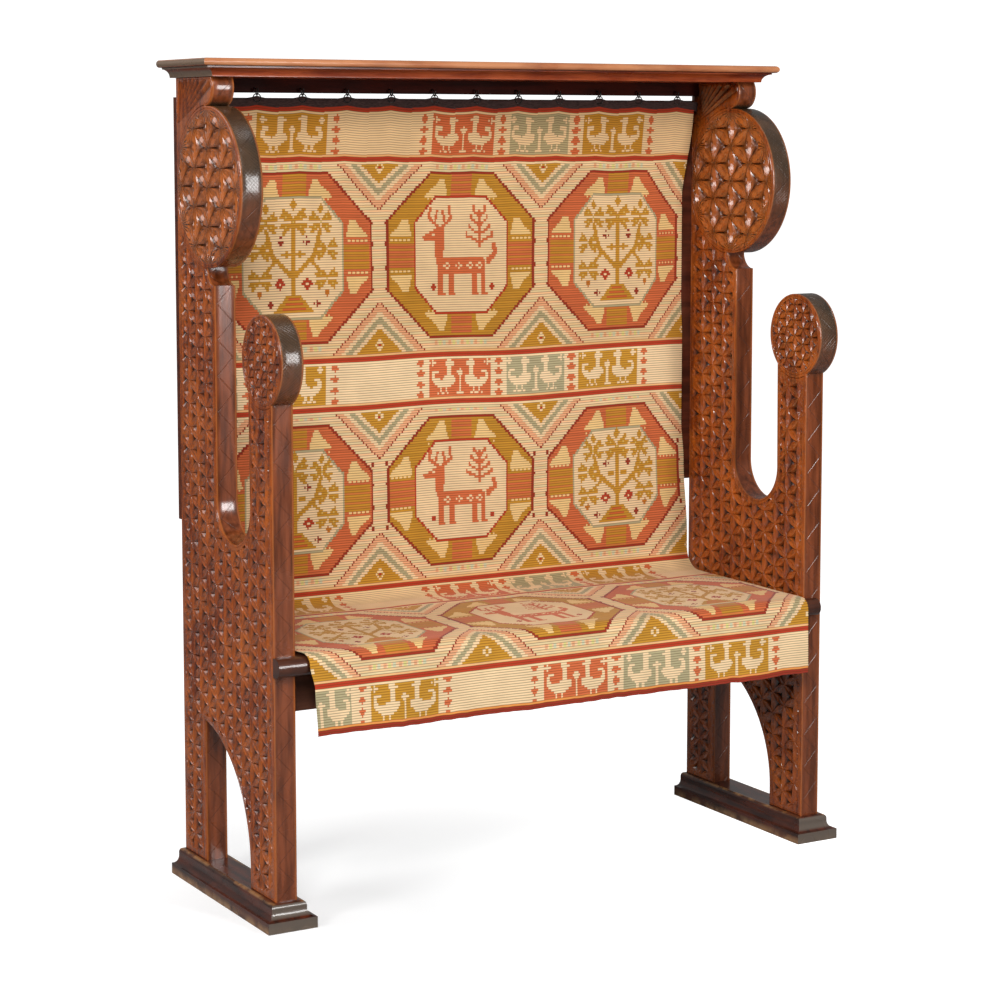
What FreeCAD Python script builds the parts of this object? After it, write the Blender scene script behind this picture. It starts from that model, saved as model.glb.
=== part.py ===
import FreeCAD, Part
import math
import os
import Sketcher
from FreeCAD import Placement, Rotation, Vector

# A high-backed settle: two carved plank sides on moulded feet, a moulded shelf over them, a plank
# seat between them, horizontal back boards behind them, and one woven cover that hangs from hooks
# under the shelf, runs forward over the seat and falls over its front edge.
# Frame: +X to the right seen from the front, +Y to the back, +Z up. The origin is on the floor, in
# the middle of the width and of the depth. Millimetres.

DRIVING_SIZES = [
    ("inner_width", 1080.0, "clear width between the two sides"),
    ("side_thick", 42.5, "thickness of a side plank"),
    ("side_front", -183.85, "front face of the sides, from the middle of the depth"),
    ("side_depth", 394.0, "front to back of a side"),
    ("overall_height", 1500.0, "floor to the top of the shelf"),
    ("foot_height", 46.0, "height of a foot"),
    ("foot_plinth", 19.5, "height of the square lower part of a foot"),
    ("foot_side_lip", 25.3, "how far a foot stands out beside its side plank"),
    ("foot_front_lip", 28.7, "how far a foot stands out in front"),
    ("foot_rear_lip", 7.2, "how far a foot stands out behind"),
    ("foot_shoulder", 5.0, "flat margin on a foot's top round the plank"),
    ("foot_rear_margin", 2.0, "flat margin on a foot's top behind the plank"),
    ("cutter_spare", 5.0, "how far a moulding cutter runs past the wood"),
    ("foot_round_share", 0.35, "share of a foot's moulding taken by its rounded top arris"),
    ("front_leg_depth", 102.0, "depth of the front leg"),
    ("rear_leg_depth", 97.0, "depth of the rear leg"),
    ("arch_radius", 230.0, "radius of the arch between the legs"),
    ("arch_spring", 82.0, "height at which the arch springs from the front leg"),
    ("arm_post_depth", 89.5, "depth of the arm post"),
    ("rear_post_depth", 160.0, "depth of the rear post"),
    ("slot_bottom", 649.5, "lowest point of the slot between the posts"),
    ("arm_disc_radius", 80.3, "radius of the small disc on the arm post"),
    ("arm_disc_set_back", 36.0, "centre of the small disc behind the front face"),
    ("arm_disc_height", 982.4, "height of the centre of the small disc"),
    ("head_disc_radius", 142.7, "radius of the large disc on the rear post"),
    ("head_disc_set_back", 254.3, "centre of the large disc behind the front face"),
    ("head_disc_drop", 193.8, "centre of the large disc under the top of the sides"),
    ("cove_radius", 31.0, "radius of the cove under the large disc"),
    ("roll_radius", 32.0, "radius of the rounded neck over the large disc"),
    ("roll_set_back", 262.0, "centre of the neck's roll behind the front face"),
    ("field_pitch", 42.0, "distance between neighbouring compass points of the carved field"),
    ("field_first_set_back", 20.85, "first column of compass points behind the front face"),
    ("field_first_height", 64.0, "height of that column's lowest compass point"),
    ("head_pitch", 69.0, "distance between compass points on the large disc"),
    ("arm_pitch", 30.0, "distance between compass points on the small disc"),
    ("carving_margin", 9.8, "plain border round the carved field"),
    ("head_rim", 11.5, "plain rim of the large disc"),
    ("arm_rim", 8.5, "plain rim of the small disc"),
    ("disc_surround", 4.0, "plain wood between a disc and the carved field"),
    ("seat_clearance", 12.0, "uncarved wood above and below the seat's frame inside"),
    ("tenon_depth", 30.0, "length of a leg tenon"),
    ("tenon_shoulder", 11.0, "shoulder on each side of a leg tenon's thickness"),
    ("tenon_margin", 18.0, "shoulder at each end of a leg tenon"),
    ("shelf_thick", 31.5, "thickness of the shelf"),
    ("shelf_width", 1225.0, "length of the shelf"),
    ("shelf_set_back", 193.5, "front edge of the shelf behind the sides' front"),
    ("shelf_depth", 218.35, "depth of the shelf"),
    ("shelf_bead", 13.5, "height of the rounded top edge of the shelf"),
    ("shelf_step", 11.0, "set-in of the shelf's moulding under the rounded edge"),
    ("shelf_cove", 15.0, "radius of the hollow of the shelf's moulding"),
    ("dowel_radius", 6.0, "radius of a shelf dowel"),
    ("dowel_length", 44.0, "length of a shelf dowel"),
    ("dowel_depth", 25.0, "depth of a dowel hole in the side"),
    ("dowel_margin", 45.0, "dowel centre from the rear or from the neck"),
    ("rail_height", 25.5, "height of the hanging rail"),
    ("rail_thick", 24.0, "thickness of the hanging rail"),
    ("rail_tenon", 12.0, "length of a rail's end housed in the side"),
    ("back_drop", 34.5, "top edge of the back boards under the top of the sides"),
    ("back_bottom", 664.0, "bottom edge of the back boards"),
    ("back_thick", 12.0, "thickness of the back boards"),
    ("back_count", 4.0, "number of back boards"),
    ("tongue_depth", 6.0, "length of the tongue between two back boards"),
    ("tongue_thick", 4.0, "thickness of that tongue"),
    ("seat_top", 476.0, "height of the wooden seat"),
    ("seat_thick", 33.0, "thickness of the seat planks"),
    ("seat_overhang", 26.0, "how far the seat's nosing stands in front of the sides"),
    ("nosing_short", 18.0, "how far the nosing's right end stops short of the side's outer face"),
    ("seat_front_depth", 118.0, "depth of the front plank behind the sides' front"),
    ("seat_rear_limit", 372.0, "rear edge of the seat behind the sides' front"),
    ("board_gap", 0.6, "gap between two seat planks"),
    ("cleat_height", 36.0, "height of a seat cleat"),
    ("cleat_thick", 24.0, "thickness of a seat cleat"),
    ("seat_rail_height", 70.0, "height of the rails under the seat"),
    ("seat_rail_thick", 22.0, "thickness of the rails under the seat"),
    ("seat_rail_set_back", 24.0, "front rail behind the sides' front face"),
    ("bearer_height", 45.0, "height of the middle bearer under the seat"),
    ("bearer_width", 40.0, "width of the middle bearer"),
    ("fit", 0.2, "clearance round a tenon, a dowel or a housed end"),
    ("soft_gap", 0.4, "clearance of the cover from the wood"),
    ("hook_count", 12.0, "number of hooks"),
    ("hook_pitch", 92.0, "distance between hooks"),
    ("hook_shift", -24.0, "middle of the row of hooks from the middle of the settle"),
    ("hook_edge_margin", 20.0, "a hook nearer than this to the cover's edge makes no bow"),
    ("hook_wire", 2.2, "wire diameter of a hook"),
    ("hook_drive", 14.0, "length of a hook's shank in the rail"),
    ("hook_bend", 4.0, "bend radius of a hook"),
    ("hook_above_rail", 8.0, "height of a hook's shank over the rail's lower edge"),
    ("ring_radius", 7.5, "mean radius of a ring"),
    ("ring_wire", 2.0, "wire diameter of a ring"),
    ("cover_width", 1066.0, "width of the cover"),
    ("cover_thick", 3.0, "thickness of the doubled cover"),
    ("cover_lag", 9.0, "front of the cover at the hooks, in front of the hanging rail"),
    ("ring_above_tape", 4.0, "top of a ring over the header tape"),
    ("cover_stand_off", 6.0, "back of the hanging cover from the back boards"),
    ("cover_bow", 3.5, "how far the cover bows back between two hooks"),
    ("cover_bow_length", 171.0, "length over which the bows fade out, down from the header tape"),
    ("cover_sweep", 45.0, "radius of the cover's curve from the back onto the seat"),
    ("tape_drop", 6.0, "top edge of the header tape under the hanging rail"),
    ("tape_height", 16.0, "height of the header tape"),
    ("fall_bottom", 337.0, "lower edge of the cover's fall in front of the seat"),
    ("screw_radius", 2.2, "shank radius of a cleat screw"),
    ("screw_head_radius", 4.4, "head radius of a cleat screw"),
    ("screw_length", 38.0, "length of a cleat screw"),
    ("screw_count", 3.0, "screws in a cleat"),
    ("nail_radius", 1.5, "shank radius of a nail in the back"),
    ("nail_head_radius", 3.6, "head radius of a nail in the back"),
    ("nail_head_thick", 1.2, "thickness of a nail's head"),
    ("nail_length", 40.0, "length of a nail"),
    ("nail_margin", 40.0, "nail from the edge of its board"),
]

doc = FreeCAD.newDocument("Settle")
sheet = doc.addObject("Spreadsheet::Sheet", "Sizes")
for row, (alias, number, meaning) in enumerate(DRIVING_SIZES, start=1):
    sheet.set(f"A{row}", alias)
    sheet.set(f"B{row}", str(number))
    sheet.set(f"C{row}", meaning)
    sheet.setAlias(f"B{row}", alias)
doc.recompute()


class Size:
    """A length that keeps both its number and the formula on the sheet that gives it."""

    def __init__(self, number, formula=None):
        self.number = float(number)
        self.formula = formula or repr(float(number))

    def joined(self, other, sign, number):
        return Size(number, f"({self.formula} {sign} {other.formula})")

    def __add__(self, other):
        other = as_size(other)
        return self.joined(other, "+", self.number + other.number)

    def __sub__(self, other):
        other = as_size(other)
        return self.joined(other, "-", self.number - other.number)

    def __mul__(self, other):
        other = as_size(other)
        return self.joined(other, "*", self.number * other.number)

    def __truediv__(self, other):
        other = as_size(other)
        return self.joined(other, "/", self.number / other.number)

    def __neg__(self):
        return Size(-self.number, f"(0 - {self.formula})")

    def root(self):
        return Size(math.sqrt(self.number), f"sqrt({self.formula})")


def as_size(value):
    return value if isinstance(value, Size) else Size(value)


def chord(radius, offset):
    """Half chord of a circle at a distance from its centre."""
    return (radius * radius - offset * offset).root()


S = {alias: Size(sheet.get(alias), f"Sizes.{alias}") for alias, number, meaning in DRIVING_SIZES}

# Places worked out from the driving sizes.
FRONT = S["side_front"]
REAR = FRONT + S["side_depth"]
INNER = S["inner_width"] / 2
OUTER = INNER + S["side_thick"]
SIDE_TOP = S["overall_height"] - S["shelf_thick"]
FOOT_TOP = S["foot_height"]
SEAT_BOTTOM = S["seat_top"] - S["seat_thick"]
POST_FRONT = REAR - S["rear_post_depth"]
ARM_REAR = FRONT + S["arm_post_depth"]
LEG_REAR = FRONT + S["front_leg_depth"]
LEG_FRONT = REAR - S["rear_leg_depth"]
SLOT_RADIUS = (POST_FRONT - ARM_REAR) / 2
SLOT_SPRING = S["slot_bottom"] + SLOT_RADIUS
SIDES = {"left": -1, "right": 1}
parts = []


def keep(obj, label):
    """Names an object as a piece of the settle."""
    obj.Label = label
    parts.append(obj)
    return obj


def bind(obj, path, size):
    obj.setExpression(path, as_size(size).formula)


def box(name, low, extent):
    """A block from its low corner and its extents, all bound to the sheet."""
    block = doc.addObject("Part::Box", name)
    for path, size in zip(("Length", "Width", "Height"), extent):
        bind(block, path, size)
    for path, size in zip("xyz", low):
        bind(block, f"Placement.Base.{path}", size)
    return block


def rod(name, centre, radius, length, turn):
    """A cylinder from the centre of its starting face."""
    cylinder = doc.addObject("Part::Cylinder", name)
    cylinder.Placement = Placement(Vector(), turn)
    bind(cylinder, "Radius", radius)
    bind(cylinder, "Height", length)
    for path, size in zip("xyz", centre):
        bind(cylinder, f"Placement.Base.{path}", size)
    return cylinder


def joined(name, pieces):
    fuse = doc.addObject("Part::MultiFuse", name)
    fuse.Shapes = pieces
    return fuse


def cut_away(name, base, tools):
    cut = doc.addObject("Part::Cut", name)
    cut.Base = base
    cut.Tool = tools[0] if len(tools) == 1 else joined(f"{name}_tools", tools)
    return cut


def plane_of(body, role):
    return [item for item in body.Origin.OriginFeatures if item.Role == role][0]


def draw_outline(sketch, corners):
    """Draws one closed outline. A corner is (across, up, centre, turn): the centre and the turn,
    +1 anticlockwise or -1 clockwise, belong to the arc that leaves the corner; no centre is a line.
    Every corner is placed by two distances, and every arc by one more to its centre."""
    placed = []
    for index, (across, up, centre, turn) in enumerate(corners):
        after = corners[(index + 1) % len(corners)]
        start = Vector(across.number, up.number, 0)
        end = Vector(after[0].number, after[1].number, 0)
        if centre is None:
            geometry = sketch.addGeometry(Part.LineSegment(start, end), False)
            placed.append((geometry, 1, 2))
            continue
        middle = Vector(centre[0].number, centre[1].number, 0)
        first, last = (start, end) if turn > 0 else (end, start)
        angles = [math.atan2(p.y - middle.y, p.x - middle.x) for p in (first, last)]
        circle = Part.Circle(middle, Vector(0, 0, 1), (start - middle).Length)
        geometry = sketch.addGeometry(Part.ArcOfCircle(circle, angles[0], angles[1]), False)
        placed.append((geometry, 1, 2) if turn > 0 else (geometry, 2, 1))
        level = abs(end.x - start.x) >= abs(end.y - start.y)
        kind, size = ("DistanceY", centre[1]) if level else ("DistanceX", centre[0])
        place_point(sketch, kind, geometry, 3, size)
    for index, (geometry, first, last) in enumerate(placed):
        following = placed[(index + 1) % len(placed)]
        joint = Sketcher.Constraint("Coincident", geometry, last, following[0], following[1])
        sketch.addConstraint(joint)
        place_point(sketch, "DistanceX", geometry, first, corners[index][0])
        place_point(sketch, "DistanceY", geometry, first, corners[index][1])


def place_point(sketch, kind, geometry, point, size):
    row = sketch.addConstraint(Sketcher.Constraint(kind, -1, 1, geometry, point, size.number))
    sketch.setExpression(f"Constraints[{row}]", size.formula)


def outline_sketch(body, name, role, outlines):
    sketch = body.newObject("Sketcher::SketchObject", name)
    sketch.AttachmentSupport = [(plane_of(body, role), "")]
    sketch.MapMode = "FlatFace"
    for corners in outlines:
        draw_outline(sketch, corners)
    return sketch


def padded_body(name, role, corners, length):
    """A body with one outline padded evenly to both sides of its plane."""
    body = doc.addObject("PartDesign::Body", name)
    pad = body.newObject("PartDesign::Pad", f"{name}_pad")
    pad.Profile = outline_sketch(body, f"{name}_outline", role, [corners])
    pad.SideType = "Symmetric"
    bind(pad, "Length", length)
    return body


def block_in(body, kind, name, low, extent):
    """An added or cut block inside a body, in the body's own frame."""
    block = body.newObject(f"PartDesign::{kind}", name)
    for path, size in zip(("Length", "Width", "Height"), extent):
        bind(block, path, size)
    for path, size in zip("xyz", low):
        bind(block, f"Placement.Base.{path}", size)
    return block


def line(across, up):
    return (as_size(across), as_size(up), None, 0)


def arc(across, up, centre, turn):
    return (as_size(across), as_size(up), (as_size(centre[0]), as_size(centre[1])), turn)


# Side planks.
ARM_DISC_Y = FRONT + S["arm_disc_set_back"]
ARM_DISC_Z = S["arm_disc_height"]
HEAD_DISC_Y = FRONT + S["head_disc_set_back"]
HEAD_DISC_Z = SIDE_TOP - S["head_disc_drop"]
HEAD_RADIUS = S["head_disc_radius"]
COVE_Y = POST_FRONT + S["cove_radius"]
COVE_Z = HEAD_DISC_Z - chord(HEAD_RADIUS, COVE_Y - HEAD_DISC_Y)
ROLL_Y = FRONT + S["roll_set_back"]
ROLL_FOOT_Z = HEAD_DISC_Z + chord(HEAD_RADIUS, ROLL_Y - HEAD_DISC_Y)
ROLL_Z = ROLL_FOOT_Z + S["roll_radius"]
ARCH_Y = LEG_REAR + S["arch_radius"]
ARCH_TOP = S["arch_spring"] + chord(S["arch_radius"], ARCH_Y - LEG_FRONT)


def side_outline():
    """Outline of a side plank, seen along X, from the front leg's lower front corner upward."""
    disc = S["arm_disc_radius"]
    arm_disc = (ARM_DISC_Y, ARM_DISC_Z)
    slot = ((ARM_REAR + POST_FRONT) / 2, SLOT_SPRING)
    return [
        line(FRONT, FOOT_TOP),
        arc(FRONT, ARM_DISC_Z - chord(disc, FRONT - ARM_DISC_Y), arm_disc, -1),
        line(ARM_REAR, ARM_DISC_Z - chord(disc, ARM_REAR - ARM_DISC_Y)),
        arc(ARM_REAR, SLOT_SPRING, slot, 1),
        line(POST_FRONT, SLOT_SPRING),
        arc(POST_FRONT, COVE_Z - S["cove_radius"], (POST_FRONT, COVE_Z), 1),
        arc(COVE_Y, COVE_Z, (HEAD_DISC_Y, HEAD_DISC_Z), -1),
        arc(ROLL_Y, ROLL_FOOT_Z, (ROLL_Y, ROLL_Z), -1),
        line(ROLL_Y - chord(S["roll_radius"], SIDE_TOP - ROLL_Z), SIDE_TOP),
        line(REAR, SIDE_TOP),
        line(REAR, FOOT_TOP),
        line(LEG_FRONT, FOOT_TOP),
        arc(LEG_FRONT, ARCH_TOP, (ARCH_Y, S["arch_spring"]), 1),
        line(LEG_REAR, S["arch_spring"]),
        line(LEG_REAR, FOOT_TOP),
    ]


SIDE_MIDDLE = INNER + S["side_thick"] / 2
TENON_THICK = S["side_thick"] - S["tenon_shoulder"] * 2
LEG_TENONS = [
    (FRONT + S["tenon_margin"], S["front_leg_depth"] - S["tenon_margin"] * 2),
    (LEG_FRONT + S["tenon_margin"], S["rear_leg_depth"] - S["tenon_margin"] * 2),
]
SHELF_BACK = FRONT + S["shelf_set_back"] + S["shelf_depth"]
SHELF_FRONT = FRONT + S["shelf_set_back"]
DOWELS = [ROLL_Y + S["dowel_margin"] / 2, REAR - S["dowel_margin"]]
RAIL_FRONT = REAR - S["rail_thick"]
RAIL_BOTTOM = SIDE_TOP - S["rail_height"]
SEAT_RAILS = {
    "front": FRONT + S["seat_rail_set_back"],
    "rear": FRONT + S["seat_rear_limit"] - S["seat_rail_thick"],
}
SEAT_RAIL_BOTTOM = SEAT_BOTTOM - S["seat_rail_height"]
FIT = S["fit"]
ALONG_X = Rotation(Vector(0, 1, 0), 90)
ALONG_Y = Rotation(Vector(1, 0, 0), -90)
CLEAT_MIDDLE = SEAT_BOTTOM - S["cleat_height"] / 2
CLEAT_FRONT = SEAT_RAILS["front"] + S["seat_rail_thick"]
CLEAT_LENGTH = SEAT_RAILS["rear"] - CLEAT_FRONT
SCREW_COUNT = round(S["screw_count"].number)
CLEAT_SCREWS = [CLEAT_FRONT + CLEAT_LENGTH * ((2 * i + 1) / (2 * SCREW_COUNT))
                for i in range(SCREW_COUNT)]
BACK_COUNT = round(S["back_count"].number)
BACK_TOP = SIDE_TOP - S["back_drop"]
BACK_BOARD_HEIGHT = (BACK_TOP - S["back_bottom"]) / BACK_COUNT
BACK_BOARD_FEET = [S["back_bottom"] + BACK_BOARD_HEIGHT * i for i in range(BACK_COUNT)]
NAIL_HEIGHTS = [foot + offset for foot in BACK_BOARD_FEET
                for offset in (S["nail_margin"], BACK_BOARD_HEIGHT - S["nail_margin"])]


def bore_in(body, name, start, radius, length, turn):
    """A round hole inside a body, from the centre of its starting face."""
    hole = body.newObject("PartDesign::SubtractiveCylinder", name)
    hole.Placement = Placement(Vector(), turn)
    bind(hole, "Radius", radius)
    bind(hole, "Height", length)
    for path, size in zip("xyz", start):
        bind(hole, f"Placement.Base.{path}", size)
    return hole


def build_side(hand, sign):
    """A side plank: the outline, two leg tenons, and the sockets of rails and dowels."""
    name = f"{hand}_side"
    body = padded_body(name, "YZ_Plane", side_outline(), S["side_thick"])
    for number, (start, length) in enumerate(LEG_TENONS):
        low = (-(TENON_THICK / 2), start, FOOT_TOP - S["tenon_depth"])
        extent = (TENON_THICK, length, S["tenon_depth"] + S["tenon_shoulder"])
        block_in(body, "AdditiveBox", f"{name}_tenon_{number}", low, extent)
    inner_face = -(S["side_thick"] / 2) if sign > 0 else S["side_thick"] / 2 - S["rail_tenon"] - FIT
    housing = S["rail_tenon"] + FIT
    low = (inner_face, RAIL_FRONT - FIT, RAIL_BOTTOM - FIT)
    extent = (housing, S["rail_thick"] + FIT * 2, S["rail_height"] + FIT * 2)
    block_in(body, "SubtractiveBox", f"{name}_rail_socket", low, extent)
    for place, start in SEAT_RAILS.items():
        low = (inner_face, start - FIT, SEAT_RAIL_BOTTOM - FIT)
        extent = (housing, S["seat_rail_thick"] + FIT * 2, S["seat_rail_height"] + FIT * 2)
        block_in(body, "SubtractiveBox", f"{name}_{place}_socket", low, extent)
    for number, across in enumerate(DOWELS):
        start = (Size(0), across, SIDE_TOP - S["dowel_depth"] - FIT)
        bore_in(body, f"{name}_dowel_hole_{number}", start, S["dowel_radius"] + FIT,
                S["dowel_depth"] + FIT, Rotation())
    for number, up in enumerate(NAIL_HEIGHTS):
        start = (Size(0), REAR - (S["nail_length"] - S["back_thick"]) - FIT, up)
        bore_in(body, f"{name}_nail_hole_{number}", start, S["nail_radius"] + FIT,
                S["nail_length"] - S["back_thick"] + FIT, ALONG_Y)
    into = S["screw_length"] - S["cleat_thick"] + FIT
    inside = -(S["side_thick"] / 2) if sign > 0 else S["side_thick"] / 2 - into
    for number, across in enumerate(CLEAT_SCREWS):
        start = (inside, across, CLEAT_MIDDLE)
        bore_in(body, f"{name}_screw_hole_{number}", start, S["screw_radius"] + FIT, into, ALONG_X)
    bind(body, "Placement.Base.x", SIDE_MIDDLE * sign)
    return body


CHIP_DEPTH_SHARE = 0.125
CHIP_REACH_SHARE = 0.72
CHIP_SPARE = 1.0


def chip_triangles(origin, pitch):
    """Three-cornered chips between compass points in columns: (middle, corners) of each, (Y, Z)."""
    reach = math.ceil(S["overall_height"].number / pitch)
    for column in range(-reach, reach + 1):
        for row in range(-2 * reach, 2 * reach + 1):
            at = [(origin[0] + (column + c) * pitch * math.sqrt(3) / 2,
                   origin[1] + (row + r) * pitch + (column + c) * pitch / 2)
                  for c, r in ((0, 0), (1, 0), (0, 1), (1, 1))]
            for three in (at[:3], at[1:]):
                middle = [sum(p[axis] for p in three) / 3 for axis in (0, 1)]
                yield middle, [[m + (q - m) * CHIP_REACH_SHARE for m, q in zip(middle, p)]
                               for p in three]


def chip_tool(middle, corners, depth, face, outward):
    """A three-sided pit as a cutter whose base stands a little outside the face."""
    share = (depth + CHIP_SPARE) / depth
    wide = [Vector(face + outward * CHIP_SPARE, *[m + (q - m) * share for m, q in zip(middle, p)])
            for p in corners]
    point = Vector(face - outward * depth, *middle)
    rings = [wide, *([wide[k - 1], wide[k], point] for k in range(3))]
    faces = [Part.Face(Part.makePolygon([*ring, ring[0]])) for ring in rings]
    return Part.Solid(Part.Shell(faces))


def carved_chips(outline):
    """Every chip of one side's face that lies whole in the field or in a disc: middle, corners and
    depth."""
    face = Part.Face(outline.Wires[0])
    discs = [((HEAD_DISC_Y, HEAD_DISC_Z), HEAD_RADIUS, S["head_rim"], S["head_pitch"]),
             ((ARM_DISC_Y, ARM_DISC_Z), S["arm_disc_radius"], S["arm_rim"], S["arm_pitch"])]

    def inside_wood(corners):
        spots = [Vector(0, *p) for p in corners]
        return all(face.isInside(p, 0.01, True) for p in spots) and all(
            outline.distToShape(Part.Vertex(p))[0] > S["carving_margin"].number for p in spots)

    def reaches(corners, disc):
        return [math.dist(p, [c.number for c in disc[0]]) for p in corners]

    first = (FRONT + S["field_first_set_back"], S["field_first_height"])
    for middle, corners in chip_triangles([c.number for c in first], S["field_pitch"].number):
        clear = all(min(reaches(corners, disc)) > (disc[1] + S["disc_surround"]).number
                    for disc in discs)
        if clear and middle[1] < HEAD_DISC_Z.number and inside_wood(corners):
            yield middle, corners, S["field_pitch"].number * CHIP_DEPTH_SHARE
    for disc in discs:
        origin = [c.number for c in disc[0]]
        for middle, corners in chip_triangles(origin, disc[3].number):
            if max(reaches(corners, disc)) < (disc[1] - disc[2]).number and inside_wood(corners):
                yield middle, corners, disc[3].number * CHIP_DEPTH_SHARE


def carve(hand, sign, body):
    """Cuts the chips into both faces of a side; inside, the seat's frame keeps plain wood."""
    doc.recompute()
    outline = doc.getObject(f"{hand}_side_outline").Shape
    plain = (SEAT_RAIL_BOTTOM - S["seat_clearance"], S["seat_top"] + S["seat_clearance"])
    cutters = []
    for middle, corners, depth in carved_chips(outline):
        cutters.append(chip_tool(middle, corners, depth, sign * OUTER.number, sign))
        heights = [p[1] for p in corners]
        if max(heights) < plain[0].number or min(heights) > plain[1].number:
            cutters.append(chip_tool(middle, corners, depth, sign * INNER.number, -sign))
    tools = doc.addObject("Part::Feature", f"{hand}_side_chips")
    tools.Shape = Part.makeCompound(cutters)
    carved = doc.addObject("Part::Cut", f"{hand}_side_carved")
    carved.Base = body
    carved.Tool = tools
    return carved


for hand, sign in SIDES.items():
    keep(carve(hand, sign, build_side(hand, sign)), f"{hand}_side_panel")

# Feet.
FOOT_FRONT = FRONT - S["foot_front_lip"]
FOOT_BACK = REAR + S["foot_rear_lip"]
FOOT_WIDTH = S["side_thick"] + S["foot_side_lip"] * 2


def foot_cutter(edge, inset, inward):
    """What a foot's moulding takes off one edge: over the plinth a hollow, then a rounded arris.
    Inward is +1 or -1, the way from the edge to the middle."""
    arris = inset * S["foot_round_share"]
    hollow = inset - arris
    wall = edge + hollow * inward
    top = FOOT_TOP + S["cutter_spare"]
    outside = edge - S["cutter_spare"] * inward
    return [
        arc(edge, S["foot_plinth"], (edge, S["foot_plinth"] + hollow), inward),
        line(wall, S["foot_plinth"] + hollow),
        arc(wall, FOOT_TOP - arris, (wall + arris * inward, FOOT_TOP - arris), -inward),
        line(edge + inset * inward, FOOT_TOP),
        line(edge + inset * inward, top),
        line(outside, top),
        line(outside, S["foot_plinth"]),
    ]


def cut_moulding(body, name, role, outlines):
    """Runs moulding cutters right along the body, square to the plane of their outlines."""
    pocket = body.newObject("PartDesign::Pocket", name)
    pocket.Profile = outline_sketch(body, f"{name}_outline", role, outlines)
    pocket.Type = "ThroughAll"
    pocket.SideType = "Symmetric"
    return pocket


def build_foot(hand, sign):
    """A foot: a block moulded on its four edges, with two mortises for the legs."""
    name = f"{hand}_foot"
    body = doc.addObject("PartDesign::Body", name)
    half = FOOT_WIDTH / 2
    low = (-half, FOOT_FRONT, Size(0))
    block_in(body, "AdditiveBox", f"{name}_block", low, (FOOT_WIDTH, FOOT_BACK - FOOT_FRONT, FOOT_TOP))
    front = foot_cutter(FOOT_FRONT, S["foot_front_lip"] - S["foot_shoulder"], 1)
    rear = foot_cutter(FOOT_BACK, S["foot_rear_lip"] - S["foot_rear_margin"], -1)
    cut_moulding(body, f"{name}_end_moulding", "YZ_Plane", [front, rear])
    sides = [foot_cutter(half * -way, S["foot_side_lip"] - S["foot_shoulder"], way)
             for way in (1, -1)]
    cut_moulding(body, f"{name}_side_moulding", "XZ_Plane", sides)
    for number, (start, length) in enumerate(LEG_TENONS):
        low = (-(TENON_THICK / 2) - FIT, start - FIT, FOOT_TOP - S["tenon_depth"] - FIT)
        extent = (TENON_THICK + FIT * 2, length + FIT * 2, S["tenon_depth"] + FIT)
        block_in(body, "SubtractiveBox", f"{name}_mortise_{number}", low, extent)
    bind(body, "Placement.Base.x", SIDE_MIDDLE * sign)
    return body


for hand, sign in SIDES.items():
    keep(build_foot(hand, sign), f"{hand}_foot")

# Shelf and its dowels.
SHELF_HALF = S["shelf_width"] / 2
SHELF_TOP = S["overall_height"]


def shelf_cutter(edge, inward):
    """What the shelf's moulding takes off one edge: a half-round bead, a step and a hollow."""
    bead = S["shelf_bead"] / 2
    bead_foot = SHELF_TOP - S["shelf_bead"]
    step = edge + S["shelf_step"] * inward
    outside = edge - S["cutter_spare"] * inward
    below = SIDE_TOP - S["cutter_spare"]
    hollow_top = SIDE_TOP + S["shelf_cove"]
    return [
        line(outside, SHELF_TOP + S["cutter_spare"]),
        line(edge + bead * inward, SHELF_TOP + S["cutter_spare"]),
        arc(edge + bead * inward, SHELF_TOP, (edge + bead * inward, SHELF_TOP - bead), inward),
        line(edge + bead * inward, bead_foot),
        line(step, bead_foot),
        arc(step, hollow_top, (step, SIDE_TOP), -inward),
        line(step + S["shelf_cove"] * inward, SIDE_TOP),
        line(step + S["shelf_cove"] * inward, below),
        line(outside, below),
    ]


shelf = doc.addObject("PartDesign::Body", "shelf")
block_in(shelf, "AdditiveBox", "shelf_plank", (-SHELF_HALF, SHELF_FRONT, SIDE_TOP),
         (S["shelf_width"], S["shelf_depth"], S["shelf_thick"]))
cut_moulding(shelf, "shelf_front_moulding", "YZ_Plane", [shelf_cutter(SHELF_FRONT, 1)])
cut_moulding(shelf, "shelf_end_moulding", "XZ_Plane",
             [shelf_cutter(SHELF_HALF * -way, way) for way in (1, -1)])
dowels = []
for hand, sign in SIDES.items():
    for number, across in enumerate(DOWELS):
        start = (SIDE_MIDDLE * sign, across, SIDE_TOP - FIT)
        bore_in(shelf, f"shelf_hole_{hand}_{number}", start, S["dowel_radius"] + FIT,
                S["dowel_length"] - S["dowel_depth"] + FIT * 2, Rotation())
        start = (SIDE_MIDDLE * sign, across, SIDE_TOP - S["dowel_depth"])
        dowels.append(rod(f"dowel_{hand}_{number}", start, S["dowel_radius"], S["dowel_length"],
                          Rotation()))
keep(shelf, "cornice_shelf")


def group(label, pieces):
    """Several like pieces in one node, as separate solids."""
    compound = doc.addObject("Part::Compound", label)
    compound.Links = pieces
    return keep(compound, label)


group("shelf_dowels", dowels)

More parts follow.
